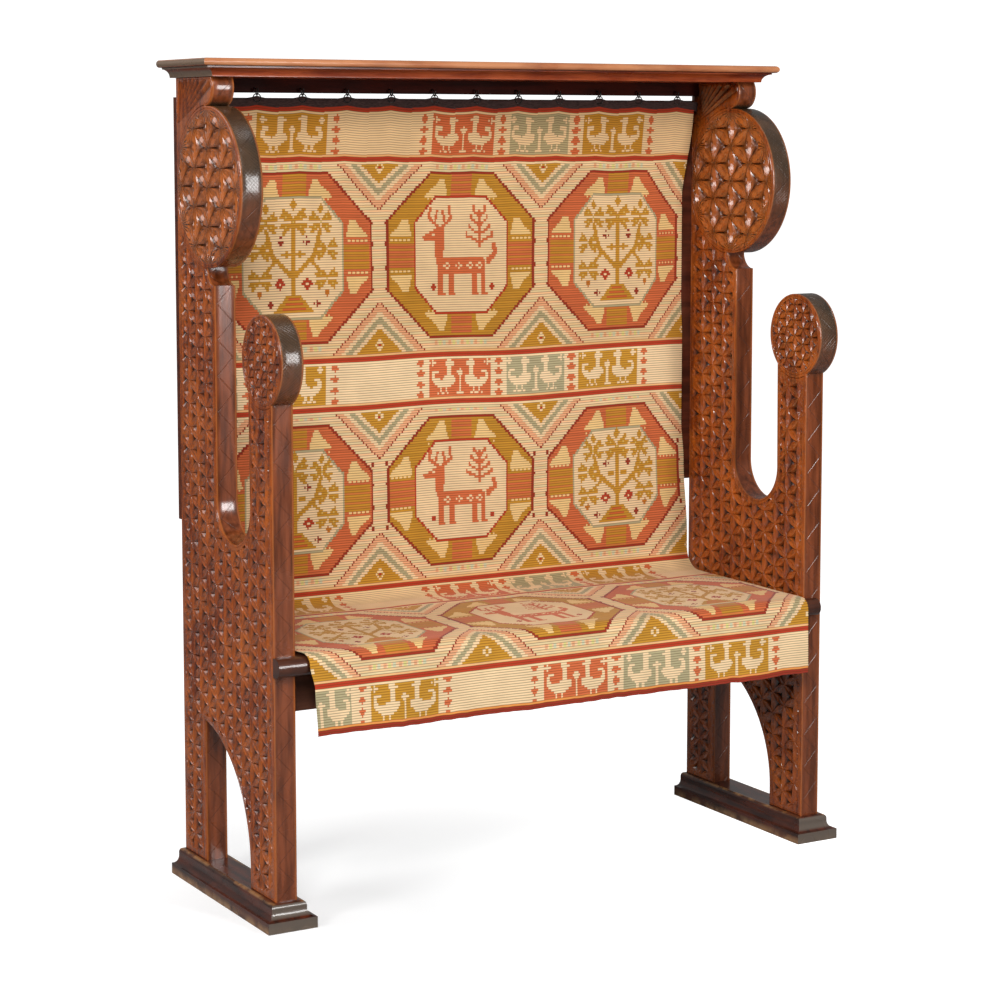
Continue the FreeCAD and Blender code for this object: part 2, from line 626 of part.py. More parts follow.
# Hanging rail, with a hole for each hook.
HOOK_COUNT = round(S["hook_count"].number)
HOOKS = [S["hook_shift"] + S["hook_pitch"] * (i - (HOOK_COUNT - 1) / 2) for i in range(HOOK_COUNT)]
HOOK_Z = RAIL_BOTTOM + S["hook_above_rail"]
housed = S["inner_width"] + S["rail_tenon"] * 2
rail_blank = box("rail_blank", (-(housed / 2), RAIL_FRONT, RAIL_BOTTOM),
                 (housed, S["rail_thick"], S["rail_height"]))
hook_holes = [rod(f"hook_hole_{i}", (x, RAIL_FRONT, HOOK_Z), S["hook_wire"] / 2 + FIT,
                  S["hook_drive"] + FIT, ALONG_Y) for i, x in enumerate(HOOKS)]
keep(cut_away("hanging_rail_wood", rail_blank, hook_holes), "hanging_rail")

# Back boards, tongued and grooved, nailed to the rear edges of the sides.
nails = []
for index, foot in enumerate(BACK_BOARD_FEET):
    middle = REAR + S["back_thick"] / 2 - S["tongue_thick"] / 2
    solid = box(f"board_{index}", (-OUTER, REAR, foot),
                (OUTER * 2, S["back_thick"], BACK_BOARD_HEIGHT))
    if index < BACK_COUNT - 1:
        tongue = box(f"tongue_{index}", (-OUTER, middle, foot + BACK_BOARD_HEIGHT),
                     (OUTER * 2, S["tongue_thick"], S["tongue_depth"]))
        solid = joined(f"tongued_board_{index}", [solid, tongue])
    tools = []
    if index > 0:
        tools.append(box(f"groove_{index}", (-OUTER, middle - FIT, foot),
                         (OUTER * 2, S["tongue_thick"] + FIT * 2, S["tongue_depth"] + FIT)))
    for hand, sign in SIDES.items():
        for place, up in enumerate(NAIL_HEIGHTS[2 * index:2 * index + 2]):
            spot = (SIDE_MIDDLE * sign, REAR - FIT, up)
            tools.append(rod(f"nail_way_{hand}_{index}_{place}", spot, S["nail_radius"] + FIT,
                             S["back_thick"] + FIT * 2, ALONG_Y))
            tip = REAR + S["back_thick"] - S["nail_length"]
            shank = rod(f"nail_shank_{hand}_{index}_{place}", (SIDE_MIDDLE * sign, tip, up),
                        S["nail_radius"], S["nail_length"], ALONG_Y)
            head = rod(f"nail_head_{hand}_{index}_{place}",
                       (SIDE_MIDDLE * sign, REAR + S["back_thick"], up),
                       S["nail_head_radius"], S["nail_head_thick"], ALONG_Y)
            nails.append(joined(f"nail_{hand}_{index}_{place}", [shank, head]))
    keep(cut_away(f"back_board_wood_{index}", solid, tools), f"back_board_{index + 1}")
group("back_nails", nails)

# Seat: three planks on two rails, a middle bearer and a cleat at each side.
NOSING_RADIUS = S["seat_thick"] / 2
SEAT_FRONT = FRONT - S["seat_overhang"]
SEAT_FRONT_REAR = FRONT + S["seat_front_depth"]
SEAT_REAR = FRONT + S["seat_rear_limit"]
PLANK_HALF = INNER - S["board_gap"]
nosing_middle = SEAT_FRONT + NOSING_RADIUS
nosing = [
    arc(nosing_middle, S["seat_top"], (nosing_middle, SEAT_BOTTOM + NOSING_RADIUS), 1),
    line(nosing_middle, SEAT_BOTTOM),
    line(SEAT_FRONT_REAR, SEAT_BOTTOM),
    line(SEAT_FRONT_REAR, S["seat_top"]),
]
front_plank = padded_body("seat_front", "YZ_Plane", nosing, OUTER * 2)
block_in(front_plank, "SubtractiveBox", "seat_nosing_end",
         (OUTER - S["nosing_short"], SEAT_FRONT - FIT, SEAT_BOTTOM - FIT),
         (S["nosing_short"] + FIT, S["seat_overhang"] + FIT * 2, S["seat_thick"] + FIT * 2))
for hand, sign in SIDES.items():
    notch = S["side_thick"] + S["board_gap"]
    start = PLANK_HALF if sign > 0 else -PLANK_HALF - notch
    block_in(front_plank, "SubtractiveBox", f"seat_notch_{hand}",
             (start, FRONT - FIT, SEAT_BOTTOM - FIT),
             (notch, S["seat_front_depth"] + FIT * 2, S["seat_thick"] + FIT * 2))
keep(front_plank, "seat_front_plank")
plank_depth = (SEAT_REAR - SEAT_FRONT_REAR - S["board_gap"] * 2) / 2
for place, label in enumerate(("seat_middle_plank", "seat_rear_plank")):
    start = SEAT_FRONT_REAR + S["board_gap"] + (plank_depth + S["board_gap"]) * place
    keep(box(f"{label}_wood", (-PLANK_HALF, start, SEAT_BOTTOM),
             (PLANK_HALF * 2, plank_depth, S["seat_thick"])), label)
for place, start in SEAT_RAILS.items():
    keep(box(f"{place}_rail_wood", (-(housed / 2), start, SEAT_RAIL_BOTTOM),
             (housed, S["seat_rail_thick"], S["seat_rail_height"])), f"seat_{place}_rail")
keep(box("bearer_wood", (-(S["bearer_width"] / 2), CLEAT_FRONT, SEAT_BOTTOM - S["bearer_height"]),
         (S["bearer_width"], CLEAT_LENGTH, S["bearer_height"])), "seat_bearer")
screws = []
for hand, sign in SIDES.items():
    low_x = INNER - S["cleat_thick"] if sign > 0 else -INNER
    cleat = box(f"{hand}_cleat_wood", (low_x, CLEAT_FRONT, SEAT_BOTTOM - S["cleat_height"]),
                (S["cleat_thick"], CLEAT_LENGTH, S["cleat_height"]))
    tools = []
    for number, across in enumerate(CLEAT_SCREWS):
        tools.append(rod(f"{hand}_screw_way_{number}", (low_x - FIT, across, CLEAT_MIDDLE),
                         S["screw_radius"] + FIT, S["cleat_thick"] + FIT * 2, ALONG_X))
        face = (INNER - S["cleat_thick"]) * sign
        start = face if sign > 0 else face - S["screw_length"]
        shank = rod(f"{hand}_screw_shank_{number}", (start, across, CLEAT_MIDDLE),
                    S["screw_radius"], S["screw_length"], ALONG_X)
        dome = doc.addObject("Part::Sphere", f"{hand}_screw_dome_{number}")
        dome.Placement = Placement(Vector(), Rotation(Vector(0, 1, 0), -90 * sign))
        dome.Angle1 = 0
        bind(dome, "Radius", S["screw_head_radius"])
        for path, size in zip("xyz", (face, across, CLEAT_MIDDLE)):
            bind(dome, f"Placement.Base.{path}", size)
        screws.append(joined(f"{hand}_screw_{number}", [shank, dome]))
    keep(cut_away(f"{hand}_cleat_bored", cleat, tools), f"{hand}_seat_cleat")
group("cleat_screws", screws)

# Woven cover: its profile from the back over the seat to the fall, and the bows between the hooks.
COVER_BACK = REAR - S["cover_stand_off"]
COVER_FACE = COVER_BACK - S["cover_thick"]
COVER_UNDER = S["seat_top"] + S["soft_gap"]
COVER_TOP = COVER_UNDER + S["cover_thick"]
SWEEP_Y = COVER_FACE - S["cover_sweep"]
SWEEP_Z = COVER_TOP + S["cover_sweep"]
FALL_BACK = SEAT_FRONT - S["soft_gap"]
FALL_FACE = FALL_BACK - S["cover_thick"]
NOSE_Y = SEAT_FRONT + NOSING_RADIUS
NOSE_Z = SEAT_BOTTOM + NOSING_RADIUS
TAPE_TOP = RAIL_BOTTOM - S["tape_drop"]
TAPE_BOTTOM = TAPE_TOP - S["tape_height"]
TAPE_FACE = RAIL_FRONT - S["cover_lag"]
BOWS_END = TAPE_BOTTOM - S["cover_bow_length"]
cover_profile = [
    line(COVER_FACE, BOWS_END),
    arc(COVER_FACE, SWEEP_Z, (SWEEP_Y, SWEEP_Z), -1),
    line(SWEEP_Y, COVER_TOP),
    arc(NOSE_Y, COVER_TOP, (NOSE_Y, NOSE_Z), 1),
    line(FALL_FACE, NOSE_Z),
    line(FALL_FACE, S["fall_bottom"]),
    line(FALL_BACK, S["fall_bottom"]),
    arc(FALL_BACK, NOSE_Z, (NOSE_Y, NOSE_Z), -1),
    line(NOSE_Y, COVER_UNDER),
    arc(SWEEP_Y, COVER_UNDER, (SWEEP_Y, SWEEP_Z), 1),
    line(COVER_BACK, SWEEP_Z),
    line(COVER_BACK, BOWS_END),
]
cover_lower = padded_body("cover_lower", "YZ_Plane", cover_profile, S["cover_width"])
doc.recompute()


def bowed_wire(face, bow, up):
    """A closed section of the hanging cover: its face and back, bowed back between the hooks."""
    half = S["cover_width"].number / 2
    inside = half - S["hook_edge_margin"].number
    across = [-half] + [x.number for x in HOOKS if abs(x.number) < inside] + [half]
    thick = S["cover_thick"].number

    def run(y, stations):
        for left, right in zip(stations, stations[1:]):
            depth = bow * (abs(right - left) / S["hook_pitch"].number) ** 2
            ends = [Vector(x, y, up) for x in (left, right)]
            if depth == 0:
                yield Part.LineSegment(*ends).toShape()
                continue
            yield Part.Arc(ends[0], Vector((left + right) / 2, y + depth, up), ends[1]).toShape()

    edges = list(run(face, across))
    edges.append(Part.LineSegment(Vector(half, face, up), Vector(half, face + thick, up)).toShape())
    edges += list(run(face + thick, across[::-1]))
    edges.append(Part.LineSegment(Vector(-half, face + thick, up), Vector(-half, face, up)).toShape())
    return Part.Wire(edges)


bow = S["cover_bow"].number
tape_bottom = TAPE_BOTTOM.number
sections = [
    bowed_wire(COVER_FACE.number, 0.0, BOWS_END.number),
    bowed_wire(TAPE_FACE.number, bow, tape_bottom),
]
cover_upper = doc.addObject("Part::Feature", "cover_upper")
cover_upper.Shape = Part.makeLoft(sections, True, True)
keep(joined("cover", [cover_lower, cover_upper]), "woven_cover")

tape = doc.addObject("Part::Feature", "tape")
tape_section = Part.Face(bowed_wire(TAPE_FACE.number, bow, tape_bottom))
tape.Shape = tape_section.extrude(Vector(0, 0, S["tape_height"].number))
keep(tape, "header_tape")


# Hooks and rings.
RING_WIRE = S["ring_wire"]
RING_TOP = TAPE_TOP + S["ring_above_tape"]
RING_Y = TAPE_FACE - RING_WIRE / 2 - S["soft_gap"]
RING_Z = RING_TOP - S["ring_radius"]
TROUGH_Z = RING_TOP - RING_WIRE / 2 - S["hook_wire"] / 2 - FIT


def hook_shape(across):
    """A wire hook: shank in the rail, a bend down, a trough under the ring and a short tip."""
    bend = S["hook_bend"].number
    height, trough = HOOK_Z.number, TROUGH_Z.number
    middle = RING_Y.number
    shank = RAIL_FRONT.number + S["hook_drive"].number
    rear, front = middle + bend, middle - bend
    diagonal = bend * math.sqrt(0.5)
    turn = Vector(across, rear + bend - diagonal, height - bend + diagonal)
    points = [Vector(across, shank, height), Vector(across, rear + bend, height),
              Vector(across, rear, height - bend), Vector(across, rear, trough + bend),
              Vector(across, middle, trough), Vector(across, front, trough + bend),
              Vector(across, front, height)]
    path = Part.Wire([
        Part.LineSegment(points[0], points[1]).toShape(),
        Part.Arc(points[1], turn, points[2]).toShape(),
        Part.LineSegment(points[2], points[3]).toShape(),
        Part.Arc(points[3], points[4], points[5]).toShape(),
        Part.LineSegment(points[5], points[6]).toShape(),
    ])
    circle = Part.Circle(points[0], Vector(0, 1, 0), S["hook_wire"].number / 2)
    return path.makePipeShell([Part.Wire(circle.toShape())], True, False)


hooks = doc.addObject("Part::Feature", "hook_row")
hooks.Shape = Part.makeCompound([hook_shape(x.number) for x in HOOKS])
keep(hooks, "hooks")
rings = []
for index, x in enumerate(HOOKS):
    ring = doc.addObject("Part::Torus", f"ring_{index}")
    ring.Placement = Placement(Vector(), ALONG_Y)
    bind(ring, "Radius1", S["ring_radius"])
    bind(ring, "Radius2", RING_WIRE / 2)
    for path, size in zip("xyz", (x, RING_Y, RING_Z)):
        bind(ring, f"Placement.Base.{path}", size)
    rings.append(ring)
group("curtain_rings", rings)

doc.recompute()
faults = [item.Label for item in doc.Objects if "Invalid" in item.State or "Error" in item.State]
faults += [item.Label for item in parts if item.Shape.isNull() or not item.Shape.isValid()]
if faults:
    raise RuntimeError(f"not built: {faults}")
os.makedirs("parts", exist_ok=True)
for item in parts:
    item.Shape.exportStep(f"parts/{item.Label}.step")
    room = item.Shape.BoundBox
    print(f"{item.Label}: {len(item.Shape.Solids)} solid(s), {item.Shape.Volume / 1000:.1f} cm3, "
          f"x {room.XMin:.1f} to {room.XMax:.1f}, y {room.YMin:.1f} to {room.YMax:.1f}, "
          f"z {room.ZMin:.1f} to {room.ZMax:.1f}")
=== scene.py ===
import math
import random

import bpy
import numpy as np
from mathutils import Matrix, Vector, noise
from mathutils.geometry import delaunay_2d_cdt


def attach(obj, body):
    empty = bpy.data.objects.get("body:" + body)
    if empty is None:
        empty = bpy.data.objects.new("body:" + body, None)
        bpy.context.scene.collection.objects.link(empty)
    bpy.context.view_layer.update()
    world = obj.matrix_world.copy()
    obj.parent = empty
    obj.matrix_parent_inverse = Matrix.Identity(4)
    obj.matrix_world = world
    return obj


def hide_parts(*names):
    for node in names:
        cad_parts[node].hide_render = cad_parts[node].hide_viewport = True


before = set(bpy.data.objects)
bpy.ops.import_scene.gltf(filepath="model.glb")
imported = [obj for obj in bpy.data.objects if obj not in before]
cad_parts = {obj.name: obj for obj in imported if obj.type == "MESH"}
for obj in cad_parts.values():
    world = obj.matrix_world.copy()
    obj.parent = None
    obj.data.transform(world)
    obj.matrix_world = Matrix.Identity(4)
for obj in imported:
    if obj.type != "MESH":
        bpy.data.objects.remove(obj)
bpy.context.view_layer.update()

MM = 0.001

# The two discs of a side: depth and height of the centre, and radius, in millimetres
HEAD = (70.45, 1274.7, 142.7)
ARM = (-147.85, 982.4, 80.3)

# How far apart the compass points of the carving stand, in millimetres
FIELD_PITCH = 42.0
HEAD_PITCH = 69.0
ARM_PITCH = 30.0


# Colours and nodes

def rgb(code):
    """An sRGB hex colour as the linear values that Blender wants."""
    shares = [int(code[i:i + 2], 16) / 255 for i in (1, 3, 5)]
    return tuple(s / 12.92 if s <= 0.04045 else ((s + 0.055) / 1.055) ** 2.4 for s in shares)


def add(tree, kind, inputs=(), out=0, **settings):
    """Adds one shader node and gives one of its outputs. Settings are the node's own options; inputs
    are the numbers, hex colours or links of its sockets, in their order or by name."""
    made = tree.nodes.new("ShaderNode" + kind)
    for name, value in settings.items():
        setattr(made, name, value)
    for name, value in inputs.items() if isinstance(inputs, dict) else enumerate(inputs):
        if isinstance(value, bpy.types.NodeSocket):
            tree.links.new(value, made.inputs[name])
        elif value is not None:
            made.inputs[name].default_value = (*rgb(value), 1) if isinstance(value, str) else value
    return made.outputs[out] if made.outputs else None


def blank(name):
    """An empty material, its node tree, and the place on the object that its patterns start from."""
    material = bpy.data.materials.new(name)
    material.use_nodes = True
    tree = material.node_tree
    tree.nodes.clear()
    return material, tree, add(tree, "TexCoord", out="Object")


def blotches(tree, place, size, detail=3.0, stretch=(1, 1, 1)):
    """Cloudy patches about size millimetres across, and longer where they are stretched."""
    scale = [1 / (size * MM * s) for s in stretch]
    placed = add(tree, "Mapping", {"Vector": place, "Scale": scale})
    return add(tree, "TexNoise", {"Vector": placed, "Scale": 1.0, "Detail": detail})


def stained(tree, colour, *coats):
    """A colour under coats of other colours. Each coat has its pattern, the two values of it between
    which it sets in, how much of it shows at the most, and its colour."""
    for pattern, low, high, most, coat in coats:
        share = add(tree, "MapRange", (pattern, low, high, 0, most))
        colour = add(tree, "Mix", {0: share, 6: colour, 7: coat}, 2, data_type="RGBA")
    return colour


def dented(tree, *hollows):
    """Hollows laid over each other, each with its pattern and its depth in millimetres."""
    normal = None
    for pattern, depth in hollows:
        normal = add(tree, "Bump", {"Height": pattern, "Distance": depth * MM, "Strength": 1.0,
                                    "Normal": normal})
    return normal


def finished(tree, looks):
    """Ends a material with a surface that looks so."""
    add(tree, "OutputMaterial", {"Surface": add(tree, "BsdfPrincipled", looks)})


# Wood

def varnished_wood(name, ground, dark, light, grain=(1, 1, 1), gloss=0.3, coat=0.35, shine=0.35,
                   surface_marks=None):
    """Old varnished wood: streaks of darker and lighter brown run along the grain, fine pores break
    the gloss, and a thin coat of varnish gives broad soft lights. Pores are too fine to show, so they
    are drawn about 2 mm wide."""
    material, tree, place = blank(name)
    streaks = blotches(tree, place, 12, 4, grain)
    clouds = blotches(tree, place, 110, 2)
    pores = blotches(tree, place, 2.2, 3, grain)
    colour = stained(tree, dark, (streaks, 0.38, 0.62, 1, ground), (clouds, 0.5, 0.75, 0.65, light),
                     (pores, 0.5, 0.72, 0.35, dark))
    # Surface marks add wear on the feet, and painted highlight and painted shade on the cornice
    if surface_marks:
        colour = surface_marks(tree, place, colour)
    finished(tree, {
        "Base Color": colour, "Normal": dented(tree, (pores, 0.2)),
        "Roughness": add(tree, "MapRange", (clouds, 0.3, 0.7, gloss - 0.05, gloss + 0.12)),
        "Specular IOR Level": shine, "Coat Weight": coat, "Coat Roughness": 0.16})
    return material


def compass_flutes(tree, place, centre, pitch, count):
    """The fine grooves that fan out from every compass point of a field: 1 on the ridges, 0 in the
    grooves, fading halfway to the next point."""
    middle = Vector((0, *centre[:2])) * MM
    cell = Vector((1, pitch * 3 ** 0.5, pitch)) * MM
    share = add(tree, "VectorMath", (place, middle), operation="SUBTRACT")
    share = add(tree, "VectorMath", (share, cell), operation="DIVIDE")
    nearest = []
    for shift in (0.0, 0.5):
        part = add(tree, "VectorMath", (share, (0.5 - shift,) * 3), operation="ADD")
        part = add(tree, "VectorMath", (part,), operation="FRACTION")
        part = add(tree, "VectorMath", (part, (0.5,) * 3), operation="SUBTRACT")
        step = add(tree, "VectorMath", (part, (0, *cell[1:])), operation="MULTIPLY")
        apart = add(tree, "VectorMath", (step,), "Value", operation="LENGTH")
        sides = add(tree, "SeparateXYZ", (step,)).node.outputs
        nearest.append((apart, add(tree, "Math", (sides[2], sides[1]), operation="ARCTAN2")))
    (first, first_angle), (second, second_angle) = nearest
    closer = add(tree, "Math", (second, first), operation="LESS_THAN")
    angle = add(tree, "Mix", {0: closer, 2: first_angle, 3: second_angle})
    turn = add(tree, "Math", (angle, count / math.pi), operation="MULTIPLY")
    turn = add(tree, "Math", (turn, 1.0), operation="PINGPONG")
    ridges = add(tree, "MapRange", (turn, 0, 0.55))
    apart = add(tree, "Math", (first, second), operation="MINIMUM")
    faded = add(tree, "MapRange", (apart, pitch * 0.40 * MM, pitch * 0.56 * MM))
    return add(tree, "Math", (ridges, faded), operation="MAXIMUM")


def inside_disc(tree, place, disc, border=7.0):
    """1 inside a disc's carved round, 0 outside it."""
    flat = add(tree, "VectorMath", (place, (0, 1, 1)), operation="MULTIPLY")
    middle = Vector((0, *disc[:2])) * MM
    away = add(tree, "VectorMath", (flat, middle), "Value", operation="DISTANCE")
    return add(tree, "MapRange", (away, (disc[2] - border) * MM, (disc[2] - border - 2) * MM))


def carved_faces():
    """Chip-carved oak under old varnish: the three-cornered pits are darkened with painted shade, most
    where they are deepest, the petals between them are scooped and polished, and fine grooves fan out
    from every compass point, darkened with painted shade. Its fibres are too fine to show, so they are
    drawn about 1.6 mm wide."""
    material, tree, place = blank("Chip-carved oak, stained and varnished")
    depth = add(tree, "Attribute", out="Fac", attribute_name="depth")
    streaks = blotches(tree, place, 9, 4, (1, 1, 7))
    clouds = blotches(tree, place, 90)
    blots = blotches(tree, place, 12)
    fields, cuts = [], []
    for disc, pitch, flutes, strength in ((HEAD, HEAD_PITCH, 24, 1.0), (ARM, ARM_PITCH, 12, 0.5)):
        field = inside_disc(tree, place, disc)
        cut = compass_flutes(tree, place, disc, pitch, flutes)
        cut = add(tree, "MapRange", (cut, 0, 1, strength, 0))
        fields.append(field)
        cuts.append(add(tree, "Math", (field, cut), operation="MULTIPLY"))
    groove = add(tree, "Math", cuts, operation="MAXIMUM")
    uncut = add(tree, "MapRange", (depth, -0.75, -0.25))
    groove = add(tree, "Math", (groove, uncut), operation="MULTIPLY")
    # Painted shade: the pits and sunk rings darken with their depth, less inside the head's disc
    dark = add(tree, "MapRange", (depth, 0.05, 0.75, 0, 0.94))
    thin = add(tree, "MapRange", (fields[0], 0, 1, 1, 0.6))
    depth_shade = add(tree, "Math", (dark, thin), operation="MULTIPLY")
    # Painted shade: the flute grooves are darkened (#2c0f05), the pits darkest (#160703)
    colour = stained(tree, "#66290d",
                     (streaks, 0.36, 0.64, 1, "#9e4b19"),
                     (clouds, 0.42, 0.7, 0.8, "#b45c1c"),
                     (blots, 0.55, 0.72, 0.6, "#46200e"),
                     (fields[0], 0, 1, 0.45, "#bb6a30"),
                     (groove, 0, 1, 0.75, "#2c0f05"),
                     (depth_shade, 0, 1, 1, "#160703"))
    ripple = blotches(tree, place, 8, 1)
    fibres = blotches(tree, place, 1.6, 2, (1, 1, 5))
    ridges = add(tree, "Math", (1.0, groove), operation="SUBTRACT")
    finished(tree, {
        "Base Color": colour, "Normal": dented(tree, (ripple, 0.8), (ridges, 2.4), (fibres, 0.15)),
        "Roughness": add(tree, "MapRange", (blots, 0.3, 0.7, 0.16, 0.32)),
        "Specular IOR Level": 0.45, "Coat Weight": 0.45, "Coat Roughness": 0.08})
    return material


# The marks on the sides' edges, in millimetres: each stroke of the zigzag runs 32 along the edge and
# 30 across it, and the hatching's lines stand 6.8 apart
ZIGZAG_RUN = 32.0
ZIGZAG_REACH = 15.0
HATCH = 3.4


def carved_edges():
    """The sawn and smoothed edges of the sides: darker from handling, grey and hatched on the discs,
    with a faint incised zigzag down the middle and orange where the arrises have worn."""
    material, tree, place = blank("Oak edge, sawn, handled dark and varnished")
    along, across, grey = (add(tree, "Attribute", out="Fac", attribute_name=name)
                           for name in ("along", "across", "grey"))
    streaks = blotches(tree, place, 10, 4, (1, 1, 9))
    clouds = blotches(tree, place, 70)
    brown = stained(tree, "#54260e", (streaks, 0.36, 0.64, 1, "#7c3e20"))
    dull = stained(tree, "#34271a", (clouds, 0.36, 0.64, 1, "#523a27"))
    off = add(tree, "Math", (across,), operation="ABSOLUTE")
    turn = add(tree, "Math", (along, ZIGZAG_RUN * MM), operation="PINGPONG")
    stroke = add(tree, "MapRange", (turn, 0, ZIGZAG_RUN * MM, -ZIGZAG_REACH * MM, ZIGZAG_REACH * MM))
    stroke = add(tree, "Math", (across, stroke), operation="SUBTRACT")
    stroke = add(tree, "Math", (stroke,), operation="ABSOLUTE")
    groove = add(tree, "MapRange", (stroke, 0.0004, 0.0018))
    lines = []
    for way in ("ADD", "SUBTRACT"):
        slant = add(tree, "Math", (along, across), operation=way)
        slant = add(tree, "Math", (slant, HATCH * MM), operation="PINGPONG")
        lines.append(add(tree, "MapRange", (slant, 0, 0.0012)))
    hatch = add(tree, "Math", lines, operation="MINIMUM")
    hatch = add(tree, "Math", (hatch, grey), operation="MULTIPLY")
    # The zigzag's groove is darkened with painted shade
    colour = stained(tree, brown, (grey, 0, 1, 1, dull), (off, 0.0165, 0.0192, 0.75, "#a8602e"),
                     (groove, 1, 0, 0.28, "#33190f"))
    finished(tree, {
        "Base Color": colour, "Normal": dented(tree, (groove, 0.4), (hatch, 0.6)),
        "Roughness": add(tree, "MapRange", (clouds, 0.3, 0.7, 0.2, 0.32)),
        "Specular IOR Level": 0.4, "Coat Weight": 0.3, "Coat Roughness": 0.15})
    return material


# Meshes

def put(name, data):
    """An object of the scene."""
    made = bpy.data.objects.new(name, data)
    bpy.context.scene.collection.objects.link(made)
    return made


def smooth_mesh(name, points, faces, *materials):
    """A smooth mesh whose points are in millimetres."""
    mesh = bpy.data.meshes.new(name)
    mesh.from_pydata([(x * MM, y * MM, z * MM) for x, y, z in points], [], faces)
    mesh.polygons.foreach_set("use_smooth", [True] * len(faces))
    for material in materials:
        mesh.materials.append(material)
    return mesh


# Outline of the carved sides, (depth, height) in millimetres, clockwise seen from the left

HALF_OUTER = 582.5
HALF_INNER = 540.0
FOOT_TOP = 46.0
REAR = 210.15
SHELF_UNDER = 1468.5


def arc(centre, radius, start, end, clockwise, step=3.0):
    """Points round an arc between two points on it, without the last."""
    a0 = math.atan2(start[1] - centre[1], start[0] - centre[0])
    a1 = math.atan2(end[1] - centre[1], end[0] - centre[0])
    turn = (a0 - a1) % math.tau if clockwise else (a1 - a0) % math.tau
    count = max(3, round(turn * radius / step))
    sign = -1 if clockwise else 1
    angles = [a0 + sign * turn * i / count for i in range(count)]
    return [(centre[0] + radius * math.cos(a), centre[1] + radius * math.sin(a)) for a in angles]


def side_outline():
    """Up the front by the arm's disc, the slot, the cove and the head's disc, and down the back to
    the arch between the legs."""
    points = [(-183.85, FOOT_TOP)]
    points += arc(ARM[:2], ARM[2], (-183.85, 910.62), (-94.35, 922.52), True)
    points += arc((-22.1, 721.75), 72.25, (-94.35, 721.75), (50.15, 721.75), False)
    points += arc((50.15, 1132.4), 31, (50.15, 1101.4), (81.15, 1132.4), False)
    points += arc(HEAD[:2], HEAD[2], (81.15, 1132.4), (78.15, 1417.2), True)
    points += arc((78.15, 1449.2), 32, (78.15, 1417.2), (52.62, SHELF_UNDER), True)
    points += [(52.62, SHELF_UNDER), (REAR, SHELF_UNDER), (REAR, FOOT_TOP), (113.15, FOOT_TOP)]
    points += arc((148.15, 82), 230, (113.15, 309.32), (-81.85, 82), False)
    points += [(-81.85, 82), (-81.85, FOOT_TOP)]
    return points


def cut_finer(points, step):
    """A closed line with no stretch longer than step."""
    made = []
    for p, q in zip(points, points[1:] + points[:1]):
        count = max(1, math.ceil(math.dist(p, q) / step))
        made += [(p[0] + (q[0] - p[0]) * i / count, p[1] + (q[1] - p[1]) * i / count)
                 for i in range(count)]
    return made


def turned(x, y, angle):
    """A flat step turned anticlockwise."""
    return x * math.cos(angle) - y * math.sin(angle), x * math.sin(angle) + y * math.cos(angle)


def moved_in(points, distance):
    """A closed clockwise line moved into the wood, round where the wood's corner turns back."""
    made = []
    for i, p in enumerate(points):
        before, after = points[i - 1], points[(i + 1) % len(points)]
        first = Vector((p[0] - before[0], p[1] - before[1])).normalized()
        second = Vector((after[0] - p[0], after[1] - p[1])).normalized()
        turn = math.atan2(first.x * second.y - first.y * second.x, first.dot(second))
        side = Vector((first.y, -first.x))
        if turn > 0.35:
            count = max(2, round(turn * distance / 2))
            for k in range(count + 1):
                x, y = turned(*side, turn * k / count)
                made.append((p[0] + x * distance, p[1] + y * distance))
            continue
        other = Vector((second.y, -second.x))
        reach = (side + other) / (1 + side.dot(other)) * distance
        made.append((p[0] + reach.x, p[1] + reach.y))
    return made


def distances(points, line):
    """How far each point is from a closed line; points outside it count below nought."""
    p = np.array(points)[:, None, :]
    a = np.array(line)[None, :, :]
    b = np.roll(a, -1, axis=1)
    run = b - a
    share = ((p - a) * run).sum(2) / np.maximum((run ** 2).sum(2), 1e-12)
    near = a + np.clip(share, 0, 1)[..., None] * run
    far = np.sqrt(((p - near) ** 2).sum(2)).min(1)
    crosses = (a[..., 1] > p[..., 1]) != (b[..., 1] > p[..., 1])
    rise = np.where(run[..., 1] == 0, 1e-12, run[..., 1])
    x = a[..., 0] + (p[..., 1] - a[..., 1]) * run[..., 0] / rise
    inside = (crosses & (p[..., 0] < x)).sum(1) % 2 == 1
    return np.where(inside, far, -far)


# The carving

# Shares of a lattice's pitch: how deep the chips are, and how deep, long and wide the scoops are
PIT_DEPTH = 0.125
SCOOP_DEPTH = 0.095
SCOOP_LENGTH = 0.43
SCOOP_WIDEST = 0.33
SCOOP_HALF_WIDTH = 0.08


